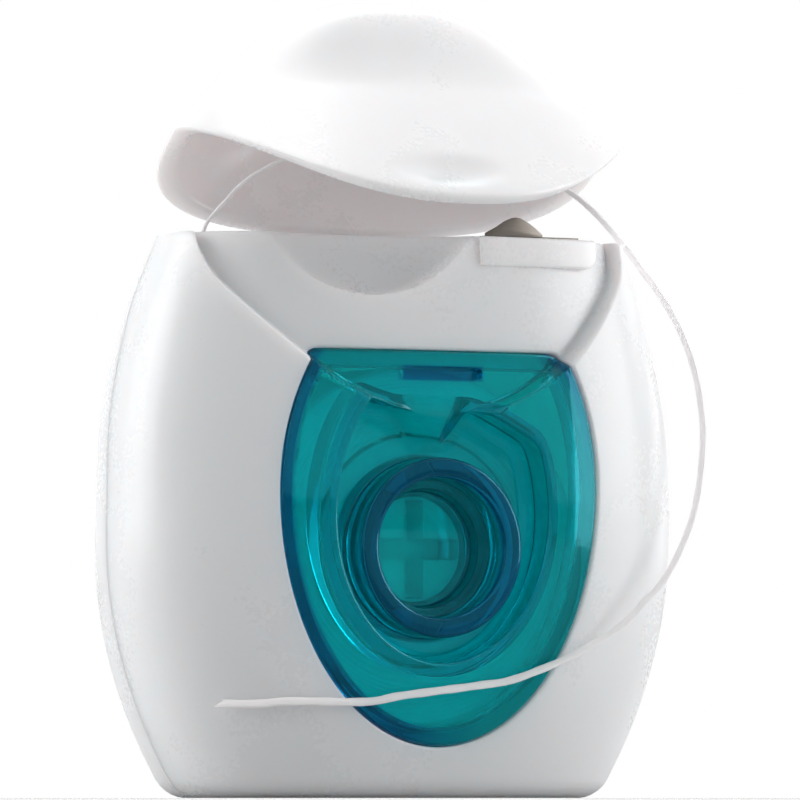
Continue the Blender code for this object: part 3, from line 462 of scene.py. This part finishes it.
def rounded(corners, radius, steps=4):
    """A profile whose inner corners are rounded, from a list of corners."""
    done = [corners[0]]
    for before, here, after in zip(corners, corners[1:], corners[2:]):
        a, b, c = Vector(before), Vector(here), Vector(after)
        size = min(radius, (a - b).length / 2.05, (c - b).length / 2.05)
        start, end = b + (a - b).normalized() * size, b + (c - b).normalized() * size
        for i in range(steps + 1):
            t = i / steps
            done.append(tuple(start * (1 - t) ** 2 + b * 2 * t * (1 - t) + end * t ** 2))
    return done + [corners[-1]]


# ---- shader nodes ----

class Value:
    """A node's output that can be added, subtracted and multiplied."""

    def __init__(self, tree, socket):
        self.tree = tree
        self.socket = socket

    def math(self, operation, first, second):
        node = self.tree.nodes.new("ShaderNodeMath")
        node.operation = operation
        for slot, value in zip(node.inputs, (first, second)):
            connect(self.tree, slot, value)
        return Value(self.tree, node.outputs[0])

    def __add__(self, other):
        return self.math("ADD", self, other)

    def __radd__(self, other):
        return self.math("ADD", other, self)

    def __sub__(self, other):
        return self.math("SUBTRACT", self, other)

    def __rsub__(self, other):
        return self.math("SUBTRACT", other, self)

    def __mul__(self, other):
        return self.math("MULTIPLY", self, other)

    def __rmul__(self, other):
        return self.math("MULTIPLY", other, self)


def connect(tree, slot, value):
    if isinstance(value, Value):
        tree.links.new(value.socket, slot)
    else:
        slot.default_value = value


class Finish:
    """One material: its Principled shader and the nodes that feed it."""

    def __init__(self, name, **plain):
        self.material = bpy.data.materials.new(name)
        self.material.use_nodes = True
        self.tree = self.material.node_tree
        self.shader = self.tree.nodes["Principled BSDF"]
        for key, value in plain.items():
            self.set(key.replace("_", " "), value)

    def set(self, name, value):
        connect(self.tree, self.shader.inputs[name], value)

    def node(self, kind, settings, values, output=0):
        node = self.tree.nodes.new(kind)
        for name, setting in settings.items():
            setattr(node, name, setting)
        for name, value in values.items():
            connect(self.tree, node.inputs[name], value)
        return Value(self.tree, node.outputs[output])

    def place(self, output="Object", stretch=(1, 1, 1)):
        at = self.node("ShaderNodeTexCoord", {}, {}, output)
        return self.node("ShaderNodeMapping", {}, {"Vector": at, "Scale": stretch})

    def noise(self, at, scale, detail=3.0, rough=0.55):
        return self.node("ShaderNodeTexNoise", {},
                         {"Vector": at, "Scale": scale, "Detail": detail, "Roughness": rough})

    def spread(self, value, low, high, low_to=0.0, high_to=1.0):
        return self.node("ShaderNodeMapRange", {"clamp": True},
                         {"Value": value, "From Min": low, "From Max": high,
                          "To Min": low_to, "To Max": high_to})

    def mix(self, share, first, second):
        return self.node("ShaderNodeMix", {"data_type": "RGBA"},
                         {0: share, 6: first, 7: second}, 2)

    def keep(self, first, second):
        """The larger of two shares."""
        return first.math("MAXIMUM", first, second)

    def bump(self, height, distance, strength=1.0):
        self.set("Normal", self.node("ShaderNodeBump", {},
                                     {"Height": height, "Distance": distance, "Strength": strength}))


def white_plastic(name, light, dark, rough=0.26):
    finish = Finish(name, IOR=1.49, Subsurface_Weight=0.8, Subsurface_Scale=0.0028,
                    Subsurface_Radius=(1.0, 0.80, 0.75))
    at = finish.place()
    cloud = finish.noise(at, 90, 2)
    fine = finish.noise(at, 2600, 2)
    share = finish.spread(cloud, 0.35, 0.65)
    finish.set("Base Color", finish.mix(share, light, dark))
    finish.set("Roughness", rough + 0.04 * share + 0.04 * (fine - 0.5))
    finish.bump(fine + 4 * finish.noise(at, 200, 1), 0.000006, 0.5)
    return finish.material


def clear_teal():
    """Clear teal plastic. Deep blue is painted on the hub's front end and on a band round the rim's lower
    left, as painted shade for light passing through thick plastic, and on the catch slot as painted shade.
    """
    finish = Finish("teal clear plastic", IOR=1.5, Transmission_Weight=0.88, Specular_Tint=(0.10, 0.80, 1, 1))
    at = finish.place()
    share = finish.spread(finish.noise(at, 160, 2), 0.3, 0.7)
    teal = finish.mix(share, (0.006, 0.97, 0.92, 1), (0.005, 0.95, 0.90, 1))
    x, y, z = (finish.node("ShaderNodeSeparateXYZ", {}, {"Vector": at}, axis) for axis in range(3))
    # Painted shade: deep blue on the hub's front end, standing in for light passing lengthwise through the
    # tube's thick wall.
    up = z - HUB_Z
    hub = finish.spread(x * x + up * up, 0.0079 ** 2, 0.0077 ** 2) * finish.spread(y, -0.0088, -0.0092)
    # Painted shade: a deep blue band round the lower left of the window's rim, on the side the camera sees,
    # standing in for light passing through the thick rim.
    rise = z - WINDOW_MIDDLE
    tall = finish.spread(rise, -0.0001, 0.0001, 1 / WINDOW_DROP, 1 / WINDOW_RISE)
    around = x * x * (1 / WINDOW_WIDTH ** 2) + rise * rise * tall * tall
    painted_rim_band = finish.spread(around, 0.84, 0.90) * finish.spread(x - 0.5 * z, 0.002, -0.006)
    # Painted shade: deep blue over the catch slot's walls and floor.
    over, above = x - SLOT_X, z - SLOT_Z
    slot = (finish.spread(over * over, (SLOT_WIDTH / 2 + 0.0002) ** 2, (SLOT_WIDTH / 2) ** 2)
            * finish.spread(above * above, (SLOT_TALL / 2 + 0.0002) ** 2, (SLOT_TALL / 2) ** 2))
    # The painted deep blue goes over the teal wherever any of these painted shade masks is set.
    blue = finish.keep(finish.keep(hub, painted_rim_band), slot)
    finish.set("Base Color", finish.mix(blue, teal, (0.003, 0.34, 0.66, 1)))
    finish.set("Roughness", 0.02 + 0.05 * finish.spread(finish.noise(at, 700, 3), 0.5, 0.8))
    finish.bump(finish.noise(at, 320, 2), 0.00003, 0.35)
    bulk = finish.tree.nodes.new("ShaderNodeVolumeAbsorption")
    bulk.inputs["Color"].default_value = (0.0, 0.72, 0.87, 1)
    bulk.inputs["Density"].default_value = 400
    output = finish.tree.nodes["Material Output"]
    finish.tree.links.new(bulk.outputs[0], output.inputs["Volume"])
    return finish.material


def brushed_steel():
    finish = Finish("cutter steel", Metallic=1.0)
    at = finish.place(stretch=(1, 1, 30))
    grain = finish.noise(at, 900, 4, 0.7)
    share = finish.spread(grain, 0.3, 0.7)
    finish.set("Base Color", finish.mix(share, (0.13, 0.115, 0.10, 1), (0.17, 0.155, 0.14, 1)))
    finish.set("Roughness", 0.30 + 0.12 * share)
    finish.bump(grain, 0.00001, 0.5)
    return finish.material


def floss_finish(name, along, across):
    """Waxed fibres that run along a strand, on its own UV map."""
    finish = Finish(name, Roughness=0.5, IOR=1.45, Subsurface_Weight=0.7, Subsurface_Scale=0.0008,
                    Subsurface_Radius=(1.0, 0.96, 0.98))
    at = finish.place("UV", (across, along, 1))
    fibre = finish.noise(at, 1.0, 4, 0.65)
    share = finish.spread(fibre, 0.3, 0.7)
    finish.set("Base Color", finish.mix(share, (0.86, 0.83, 0.84, 1), (0.95, 0.93, 0.94, 1)))
    finish.set("Roughness", 0.38 + 0.2 * share)
    finish.bump(fibre, 0.00006, 0.7)
    return finish.material


# ---- pieces ----

def cutter_seat():
    return block("seat", SEAT_LOW, SEAT_HIGH)


def cavity(fine_step):
    return barrel("cavity", CAVITY_COLUMNS, CAVITY_STEP, fine_step, WALL, WALL, CASE_TOP - WALL)


def make_front_shell(surface):
    shell = barrel("case_front", 400, 0.0006, 0.00017)
    half = block("half", HALF_LOW, (HALF_HIGH[0], PARTING_Y - SEAM / 2, HALF_HIGH[2]))
    cut(shell, cavity(0.0006), opening_cutter(), cutter_seat())
    combine(shell, half, "INTERSECT")
    combine(shell, cut(ledge_form(), cutter_seat()), "UNION")
    return dress(shell, surface, "case", ["front_shell"])


def make_rear_shell(surface):
    shell = barrel("case_back", 240, 0.0006, 0.0005)
    cut(shell, cavity(0.0008))
    notch_low = HINGE.z - HINGE_ROOT - 0.0002
    cut(shell, block("notch", (-HINGE_LENGTH / 2 - 0.0002, HINGE.y - 0.0003, notch_low),
                     (HINGE_LENGTH / 2 + 0.0002, 0.0120, 0.0520)))
    bm = bmesh.new()
    bmesh.ops.create_cone(bm, segments=48, radius1=OUTLET_RADIUS, radius2=OUTLET_RADIUS,
                          depth=OUTLET_DEPTH, cap_ends=True)
    bmesh.ops.translate(bm, vec=(OUTLET_X, OUTLET_Y, CASE_TOP), verts=bm.verts)
    cut(shell, object_from("outlet", bm))
    half = block("half", (HALF_LOW[0], PARTING_Y + SEAM / 2, HALF_LOW[2]), HALF_HIGH)
    combine(shell, half, "INTERSECT")
    edge = WALL + LIP_GAP
    lip = barrel("lip", 100, 0.0012, 0.0010, edge, edge, CASE_TOP - edge)
    cut(lip, barrel("lip inside", 90, 0.0012, 0.0010, LIP_INNER, LIP_INNER, CASE_TOP - LIP_INNER))
    combine(lip, block("slice", (HALF_LOW[0], LIP_FRONT, HALF_LOW[2]), (HALF_HIGH[0], LIP_BACK, HALF_HIGH[2])),
            "INTERSECT")
    post = turned("post", rounded([(0, POST_FRONT), (POST_RADIUS, POST_FRONT), (POST_RADIUS, POST_BACK),
                                   (0, POST_BACK)], POST_ROUND))
    ring = turned("ring", [(RING_INNER, RING_BACK), (RING_INNER, RING_FRONT), (RING_OUTER, RING_FRONT),
                           (RING_OUTER, RING_BACK), (RING_INNER, RING_BACK)])
    combine(shell, cut(post, cross_form()), "UNION")
    combine(shell, ring, "UNION")
    gather(shell, lip)
    return dress(shell, surface, "case", ["rear_shell"])


def window_rows(turns):
    """Rings of the window: hub, pocket and skin in front, then home along the inside."""
    def circle(r, y):
        return points(r * np.cos(turns), y, HUB_Z + r * np.sin(turns))

    def lift(edge, grow, y):
        x, z = edge(grow, turns)
        return points(x, y, z)

    def on_face(edge, grow, depth):
        x, z = edge(grow, turns)
        return points(x, face_y(x, z) + depth, z)

    def outer_edge(grow, turns):
        return window_edge(grow - WINDOW_GAP, turns, HUB_Z)

    hub = rounded([(0, END_FRONT), (BORE_RADIUS, END_FRONT), (BORE_RADIUS, MOUTH_FLOOR),
                   (MOUTH_RADIUS, MOUTH_FLOOR), (MOUTH_RADIUS, HUB_FRONT), (HUB_RADIUS, HUB_FRONT),
                   (HUB_RADIUS, POCKET_FLOOR), (HUB_RADIUS + 0.0004, POCKET_FLOOR)], HUB_ROUND)
    rows = [circle(r, y) for r, y in hub]
    open_top = smooth_step(np.sin(turns), *OPEN_TURN)

    def opened(closed, wide):
        return closed + (wide - closed) * open_top

    def pocket_row(grow_shut, grow_open, y_shut, depth=0.0):
        grow = opened(grow_shut, grow_open)
        x, z = pocket_edge(grow, turns)
        land = barrel_y(x, z, LAND_DEPTH)
        y_open = POCKET_FLOOR + (land - POCKET_FLOOR) * smooth_step(grow_open, -OPEN_FOOT, OPEN_LIP)
        return points(x, opened(y_shut(x, z), y_open + depth), z)

    for turn in quarter(8)[::-1]:
        rows.append(pocket_row(-POCKET_ROUND * (1 - cos(turn)), -OPEN_FOOT * (1 - cos(turn)),
                               lambda x, z: POCKET_FLOOR - POCKET_ROUND * (1 - sin(turn))))
    for turn in quarter(8):
        rows.append(pocket_row(POCKET_LIP * (1 - cos(turn)), OPEN_LIP * (1 - cos(turn)),
                               lambda x, z: face_y(x, z) + POCKET_LIP * (1 - sin(turn))))
    px, pz = pocket_edge(opened(POCKET_LIP, OPEN_LIP), turns)
    wx, wz = outer_edge(-WINDOW_EDGE, turns)
    for share in np.linspace(0, 1, 62)[1:-1]:
        x, z = px + (wx - px) * share, pz + (wz - pz) * share
        rows.append(points(x, face_y(x, z), z))
    for turn in quarter(4)[::-1]:
        rows.append(on_face(outer_edge, -WINDOW_EDGE * (1 - cos(turn)), WINDOW_EDGE * (1 - sin(turn))))
    rows.append(on_face(outer_edge, 0, FLANGE_FRONT))
    for grow, depth in ((FLANGE_REACH, FLANGE_FRONT), (FLANGE_REACH, FLANGE_BACK),
                        (-WINDOW_RIM - RIM_CHAMFER, FLANGE_BACK), (-WINDOW_RIM, FLANGE_BACK - RIM_CHAMFER),
                        (-WINDOW_RIM, WINDOW_WALL + RIM_FILLET), (-WINDOW_RIM - RIM_FILLET, WINDOW_WALL)):
        rows.append(on_face(outer_edge, grow, depth))
    px, pz = pocket_edge(opened(WINDOW_WALL, OPEN_LIP), turns)
    wx, wz = outer_edge(-WINDOW_RIM - RIM_FILLET, turns)
    for share in np.linspace(1, 0, 31)[1:]:
        x, z = px + (wx - px) * share, pz + (wz - pz) * share
        rows.append(points(x, face_y(x, z) + WINDOW_WALL, z))
    for turn in quarter(6):
        share = 1 - cos(turn)
        rows.append(pocket_row(WINDOW_WALL - INNER_ROUND * share, OPEN_LIP - (OPEN_LIP + OPEN_FOOT) * share,
                               lambda x, z: POCKET_FLOOR + WINDOW_WALL - INNER_ROUND * (1 - sin(turn)),
                               WINDOW_WALL))
    inner_floor = POCKET_FLOOR + WINDOW_WALL
    back = rounded([(HUB_RADIUS + RIM_CHAMFER, inner_floor), (HUB_RADIUS, inner_floor),
                    (HUB_RADIUS, HUB_BACK), (BORE_RADIUS, HUB_BACK), (BORE_RADIUS, END_BACK), (0, END_BACK)],
                   RIM_CHAMFER, 3)
    rows += [circle(r, y) for r, y in back]
    return np.stack(rows)


def slot_form(name, wide, tall, middle_z, front, back, power=6):
    turns = np.linspace(0, 2 * pi, 97)[:-1]
    x = wide / 2 * np.sign(np.cos(turns)) * np.abs(np.cos(turns)) ** (2 / power)
    z = tall / 2 * np.sign(np.sin(turns)) * np.abs(np.sin(turns)) ** (2 / power)
    rows = [points(0 * x, front, middle_z), points(x, front, middle_z + z),
            points(x, back, middle_z + z), points(0 * x, back, middle_z)]
    return skin(name, np.stack(rows))


def cross_form():
    bars = slot_form("bar", CROSS_LENGTH, CROSS_WIDTH, HUB_Z, CROSS_FRONT, CROSS_BACK, 12)
    other = slot_form("bar", CROSS_WIDTH, CROSS_LENGTH, HUB_Z, CROSS_FRONT + 0.0001, CROSS_BACK - 0.0001, 12)
    return combine(bars, other, "UNION")


def catch_face():
    """Where the case's front lies at the height of the catch."""
    return float(face_y(np.zeros(1), np.full(1, SLOT_Z))[0])


def make_window(surface):
    turns = np.linspace(0, 2 * pi, 561)[:-1]
    window = skin("clear_window", window_rows(turns))
    face = catch_face()
    slot = slot_form("slot", SLOT_WIDTH, SLOT_TALL, SLOT_Z, face - 0.002, face + SLOT_DEPTH, 5)
    slot.data.transform(Matrix.Translation((SLOT_X, 0, 0)))
    cut(window, slot)
    return dress(window, surface, "case", ["window"])


def lid_ring(z, turn_front, turn_back, side, front, top):
    """One ring of the closed lid; z is an array over the ring's columns."""
    share = np.clip((z - CASE_TOP) / (LID_RISE - top), 0, 1)
    low = np.minimum(z, CASE_TOP)
    width = half_width(low, side) * (1 - share ** DOME_POWER) ** DOME_END
    along = (1 - share ** CROWN_POWER) ** (1 / CROWN_POWER)
    middle = middle_y(low) - LID_FORWARD
    front_reach = middle - (middle_y(low) - half_depth(low, 0) - LID_PROUD) - front
    back_reach = LID_FORWARD + TOP_DEPTH - front
    power = LID_POWER + LID_POWER_RISE * share
    turn = np.append(turn_front, turn_back)
    sign = np.append(-np.ones_like(turn_front), np.ones_like(turn_back))
    x = width * np.sin(turn)
    deep = (1 - np.abs(np.sin(turn)) ** power) ** (1 / power)
    deep[0] = deep[len(turn_front) - 1] = 0
    y = middle - CROWN_FORWARD * share ** 2 + sign * deep * along * np.where(
        sign < 0, front_reach, back_reach)
    lean = np.where(sign < 0, LID_LEAN_FRONT, LID_LEAN_BACK) * deep
    y = y + lean * np.clip(z - CASE_TOP, 0, None) * (1 - share) ** 2
    return x, y


def lid_rim(turn_front, turn_back, side, front, top):
    z = np.full(len(turn_front) + len(turn_back), CASE_TOP)
    for _ in range(40):
        x, y = lid_ring(z, turn_front, turn_back, side, front, top)
        skirt = SKIRT_LOW + SKIRT_RISE * (np.abs(x) / SKIRT_HALF) ** SKIRT_POWER
        skirt = np.minimum(skirt + SKIRT_END * smooth_step(np.abs(x), *SKIRT_SIDE), CASE_TOP)
        z = skirt + (CASE_TOP - skirt) * smooth_step(y, *SKIRT_BACK) + LID_GAP
    return z


def make_lid(surface):
    turn_front = np.radians(np.linspace(-90, 90, 241))
    turn_back = np.radians(np.linspace(90, -90, 141))[1:-1]
    walls = {0: (0, 0, 0), 1: (LID_SIDE, LID_FRONT, LID_TOP)}
    rim = lid_rim(turn_front, turn_back, *walls[0])

    def ring_at(z, share):
        x0, y0 = lid_ring(z, turn_front, turn_back, *walls[0])
        x1, y1 = lid_ring(z, turn_front, turn_back, *walls[1])
        x, y = x0 + (x1 - x0) * share, y0 + (y1 - y0) * share
        spot = np.clip(1 - ((x - DENT_X) / DENT_WIDTH) ** 2 - ((z - DENT_Z) / DENT_TALL) ** 2, 0, 1)
        dent = DENT_DEPTH * spot ** 1.3 * (y < -0.004)
        return points(x, y + dent * (1 - share), z)

    rows = []
    climbs = 1 - (1 - np.linspace(0, 1, 91)) ** 2.2
    inner_top = CASE_TOP + LID_RISE - LID_TOP
    start = rim + RIM_INNER_ROUND
    for climb in climbs[::-1]:
        rows.append(ring_at(start + (inner_top - start) * climb, 1))
    for turn in quarter(3)[1:]:
        rows.append(ring_at(rim + RIM_INNER_ROUND * (1 - sin(turn)),
                            1 - RIM_INNER_ROUND * (1 - cos(turn)) / LID_FRONT))
    for turn in quarter(4)[::-1]:
        rows.append(ring_at(rim + RIM_OUTER_ROUND * (1 - sin(turn)),
                            RIM_OUTER_ROUND * (1 - cos(turn)) / LID_FRONT))
    start = rim + RIM_OUTER_ROUND
    for climb in climbs[1:]:
        rows.append(ring_at(start + (CASE_TOP + LID_RISE - start) * climb, 0))
    lid = skin("flip_lid", np.stack(rows))
    face = catch_face()
    bead = block("bead", (-BEAD_HALF, face - BEAD_OUT, SLOT_Z - BEAD_TALL),
                 (BEAD_HALF, face - BEAD_IN, SLOT_Z + BEAD_TALL), BEAD_EDGE)
    gather(lid, bead)
    open_turn = (Matrix.Translation(HINGE) @ Matrix.Rotation(-LID_OPEN, 4, "X")
                 @ Matrix.Translation(-HINGE))
    lid.data.transform(open_turn)
    return dress(lid, surface, "lid", ["lid"])


def make_hinge(surface):
    film = block("hinge_strip", (-HINGE_LENGTH / 2, HINGE.y - HINGE_FILM / 2, HINGE.z - HINGE_ROOT),
                 (HINGE_LENGTH / 2, HINGE.y + HINGE_FILM / 2, HINGE.z + 0.0002), 0.00008)
    bm = bmesh.new()
    bm.from_mesh(film.data)
    for i in range(6):
        height = HINGE.z - HINGE_ROOT + (HINGE_ROOT + 0.0002) * (i + 1) / 7
        bmesh.ops.bisect_plane(bm, geom=bm.verts[:] + bm.edges[:] + bm.faces[:],
                               plane_co=(0, 0, height), plane_no=(0, 0, 1))
    bm.to_mesh(film.data)
    bm.free()
    dress(film, surface, None, ["hinge_film"])
    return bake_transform(film)


def make_cutter(surface):
    plate = block("floss_cutter", PLATE_LOW, PLATE_HIGH, STEEL_EDGE)
    bm = bmesh.new()
    rim = [bm.verts.new((x / 1000, PLATE_LOW[1], z / 1000)) for x, z in TONGUE]
    face = bm.faces.new(rim)
    made = bmesh.ops.extrude_face_region(bm, geom=[face])["geom"]
    bmesh.ops.translate(bm, vec=(0, TONGUE_THICK, 0),
                        verts=[part for part in made if isinstance(part, bmesh.types.BMVert)])
    bmesh.ops.recalc_face_normals(bm, faces=bm.faces)
    bmesh.ops.bevel(bm, geom=bm.edges, offset=STEEL_EDGE, segments=2, profile=0.5,
                    affect="EDGES", material=-1)
    gather(plate, object_from("tongue", bm))
    return dress(plate, surface, "case", ["cutter"], 30)


def make_bobbin(surface):
    bore, outer = BOBBIN_BORE, BOBBIN_BORE + BOBBIN_WALL
    collar = outer + COLLAR_RISE
    front, back = BOBBIN_FRONT, BOBBIN_BACK
    corners = [(bore, 0), (bore, front), (collar, front), (collar, front + COLLAR_WIDE),
               (outer, front + COLLAR_WIDE), (outer, back - COLLAR_WIDE), (collar, back - COLLAR_WIDE),
               (collar, back), (bore, back), (bore, 0)]
    bobbin = turned("floss_bobbin", rounded(corners, COLLAR_ROUND))
    return dress(bobbin, surface, "spool", ["bobbin"])


def make_wound_floss(surface):
    """The wound mass of floss, in fine uneven turns that cross a little."""
    turns = np.linspace(0, 2 * pi, 241)[:-1]
    corner = WOUND_ROUND
    profile = []
    for r in np.arange(WOUND_INNER, WOUND_OUTER - corner, 0.00009):
        profile.append((r, WOUND_FRONT, 0, -1))
    for turn in quarter(10):
        profile.append((WOUND_OUTER - corner + corner * sin(turn), WOUND_FRONT + corner * (1 - cos(turn)),
                        sin(turn), -cos(turn)))
    for y in np.arange(WOUND_FRONT + corner, WOUND_BACK, 0.0002):
        profile.append((WOUND_OUTER, y, 1, 0))
    run = 0
    rows = [points(WOUND_INNER * np.cos(turns), 0.001, HUB_Z + WOUND_INNER * np.sin(turns))]
    last = profile[0]
    for r, y, out_r, out_y in profile:
        run += np.hypot(r - last[0], y - last[1])
        last = (r, y)
        wander = 0.00012 * np.sin(2 * turns + run * 900) + 0.0001 * np.sin(3 * turns - run * 2100 + 1)
        strand = np.abs(np.sin((run + wander) * pi / WOUND_PITCH + turns / 2)) ** 0.6
        layer = 0.5 + 0.5 * np.sin(run * 2600 + 2 * turns + 1.5 * np.sin(turns))
        lift = STRAND_RISE * strand + LAYER_RISE * layer - 0.00012
        rows.append(points((r + out_r * lift) * np.cos(turns), y + out_y * lift,
                           HUB_Z + (r + out_r * lift) * np.sin(turns)))
    rows.append(points(WOUND_INNER * np.cos(turns), WOUND_BACK, HUB_Z + WOUND_INNER * np.sin(turns)))
    rows.append(rows[0])
    wound = skin("wound_floss", np.stack(rows))
    return dress(wound, surface, "spool", ["floss_core", "floss_winding"], 60)


def smooth_route(route, step):
    """Points at even steps on a smooth curve through a route's own points."""
    route = [Vector(point) for point in route]
    knots = [route[0] * 2 - route[1]] + route + [route[-1] * 2 - route[-2]]
    fine = []
    for a, b, c, d in zip(knots, knots[1:], knots[2:], knots[3:]):
        for i in range(24):
            t = i / 24
            fine.append((2 * b + (c - a) * t + (2 * a - 5 * b + 4 * c - d) * t ** 2
                         + (3 * b - a - 3 * c + d) * t ** 3) / 2)
    fine.append(knots[-2])
    fine = np.array(fine)
    runs = np.append(0, np.cumsum(np.linalg.norm(np.diff(fine, axis=0), axis=1)))
    count = max(2, int(np.ceil(runs[-1] / step)))
    at = np.linspace(0, runs[-1], count + 1)
    return np.stack([np.interp(at, runs, fine[:, i]) for i in range(3)], axis=1), runs[-1]


def ribbon(name, route, twist, slant=0.0):
    """A flat strand along a route; twist gives its turn from facing the front, by share of its length."""
    path, length = smooth_route(route, 0.00025)
    tangent = np.gradient(path, axis=0)
    tangent /= np.linalg.norm(tangent, axis=1)[:, None]
    wide = np.cross(tangent, np.array(TO_CAMERA))
    wide /= np.linalg.norm(wide, axis=1)[:, None]
    flat = np.cross(tangent, wide)
    share = np.linspace(0, 1, len(path))
    turn = np.radians(np.interp(share, *zip(*twist)))[:, None]
    across = wide * np.cos(turn) + flat * np.sin(turn)
    thick = np.cross(tangent, across)
    round_turn = np.linspace(0, 2 * pi, 17)[:-1]
    u = np.sign(np.cos(round_turn)) * np.abs(np.cos(round_turn)) ** 0.9
    v = np.sign(np.sin(round_turn)) * np.abs(np.sin(round_turn)) ** 0.8
    wave = 1 + 0.05 * np.sin(share * length * 2100)[:, None]
    rows = (path[:, None] + across[:, None] * (u * FLOSS_WIDTH / 2 * wave)[..., None]
            + thick[:, None] * (v * FLOSS_THICK / 2)[None, :, None])
    rows[-1] += tangent[-1] * (u * slant)[:, None]
    ends = [np.repeat(path[:1], 16, axis=0), np.repeat(path[-1:], 16, axis=0)]
    return skin(name, np.concatenate([[ends[0]], rows, [ends[1]]])), path, length


def make_floss(surface):
    loop, path, length = ribbon("floss_over_lid", LOOP_ROUTE, [(0, 80), (0.25, 72), (0.7, 68), (1, 58)])
    dress(loop, surface, "case", ["floss_loop"], 80)
    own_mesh(loop)
    tail, path, length = ribbon("floss_free_end", TAIL_ROUTE,
                                [(0, 57), (0.2, 55), (0.45, 50), (0.6, 38), (0.75, 30), (1, 28)], -0.0006)
    dress(tail, surface, "case", ["floss_tail"], 80)
    lead, path, length = ribbon("floss_riser", LEAD_ROUTE, [(0, 40), (1, 60)])
    dress(lead, surface, "case", ["floss_lead"], 80)


# ---- studio ----

def make_camera():
    camera = bpy.data.objects.new("camera", bpy.data.cameras.new("camera"))
    bpy.context.scene.collection.objects.link(camera)
    target = TO_RIGHT * AIM_RIGHT + Vector((0, 0, AIM_Z))
    camera.data.lens = FOCAL_PIXELS / VIEW_PIXELS * SENSOR
    camera.data.sensor_width = SENSOR
    camera.data.clip_start = 0.1
    camera.location = TO_CAMERA * VIEW_DISTANCE
    camera.rotation_euler = (target - camera.location).to_track_quat("-Z", "Y").to_euler()
    bpy.context.scene.camera = camera


def lamp(name, turn, rise, radiance):
    """A soft box, placed by its turn to the right of the camera and its rise."""
    data = bpy.data.lights.new(name, "AREA")
    data.shape = "RECTANGLE"
    data.size, data.size_y = LAMP_SIZE
    data.energy = radiance * pi * LAMP_SIZE[0] * LAMP_SIZE[1]
    light = bpy.data.objects.new(name, data)
    bpy.context.scene.collection.objects.link(light)
    turn, rise = radians(turn), radians(rise)
    way = TO_CAMERA * cos(turn) * cos(rise) + TO_RIGHT * sin(turn) * cos(rise) + Vector((0, 0, sin(rise)))
    light.location = Vector((0, 0, LAMP_AIM_Z)) + way * LAMP_DISTANCE
    light.rotation_euler = (-way).to_track_quat("-Z", "Y").to_euler()


def make_world():
    """A dim surround that the camera, reflections and clear plastic see as plain white."""
    world = bpy.data.worlds.new("studio")
    bpy.context.scene.world = world
    world.use_nodes = True
    tree = world.node_tree
    back = tree.nodes["Background"]
    back.inputs["Color"].default_value = (1, 1, 1, 1)
    path = tree.nodes.new("ShaderNodeLightPath")
    camera = Value(tree, path.outputs["Is Camera Ray"])
    seen = (camera + Value(tree, path.outputs["Is Glossy Ray"])
            + Value(tree, path.outputs["Is Transmission Ray"]))
    seen = seen.math("MINIMUM", seen, 1.0)
    connect(tree, back.inputs["Strength"], seen * (1 - AMBIENT) + AMBIENT)


def make_floor():
    bm = bmesh.new()
    bmesh.ops.create_grid(bm, x_segments=1, y_segments=1, size=1.5)
    bmesh.ops.translate(bm, vec=(0, 0, -0.0001), verts=bm.verts)
    floor = object_from("floor", bm)
    finish = Finish("pale floor", Roughness=0.9)
    share = finish.spread(finish.noise(finish.place(), 8, 2), 0.3, 0.7)
    pale = finish.mix(share, (0.82, 0.82, 0.82, 1), (0.80, 0.80, 0.80, 1))
    seen = finish.node("ShaderNodeLightPath", {}, {})
    finish.set("Base Color", finish.mix(seen, (0.50, 0.50, 0.50, 1), pale))
    floor.data.materials.append(finish.material)


make_camera()
floss = floss_finish("waxed floss", 20, 10)
wound = floss_finish("wound floss", 90, 6)
white = white_plastic("white plastic", (0.90, 0.875, 0.885, 1), (0.89, 0.865, 0.875, 1))
pale = white_plastic("bobbin plastic", (0.80, 0.82, 0.82, 1), (0.76, 0.79, 0.79, 1), 0.35)
make_floss(floss)
make_front_shell(white)
make_rear_shell(white)
make_lid(white)
make_hinge(white)
make_window(clear_teal())
make_cutter(brushed_steel())
make_bobbin(pale)
make_wound_floss(wound)
make_floor()
make_world()
for row in LAMPS:
    lamp(*row)
bpy.context.scene.view_settings.view_transform = "Standard"
bpy.context.view_layer.update()
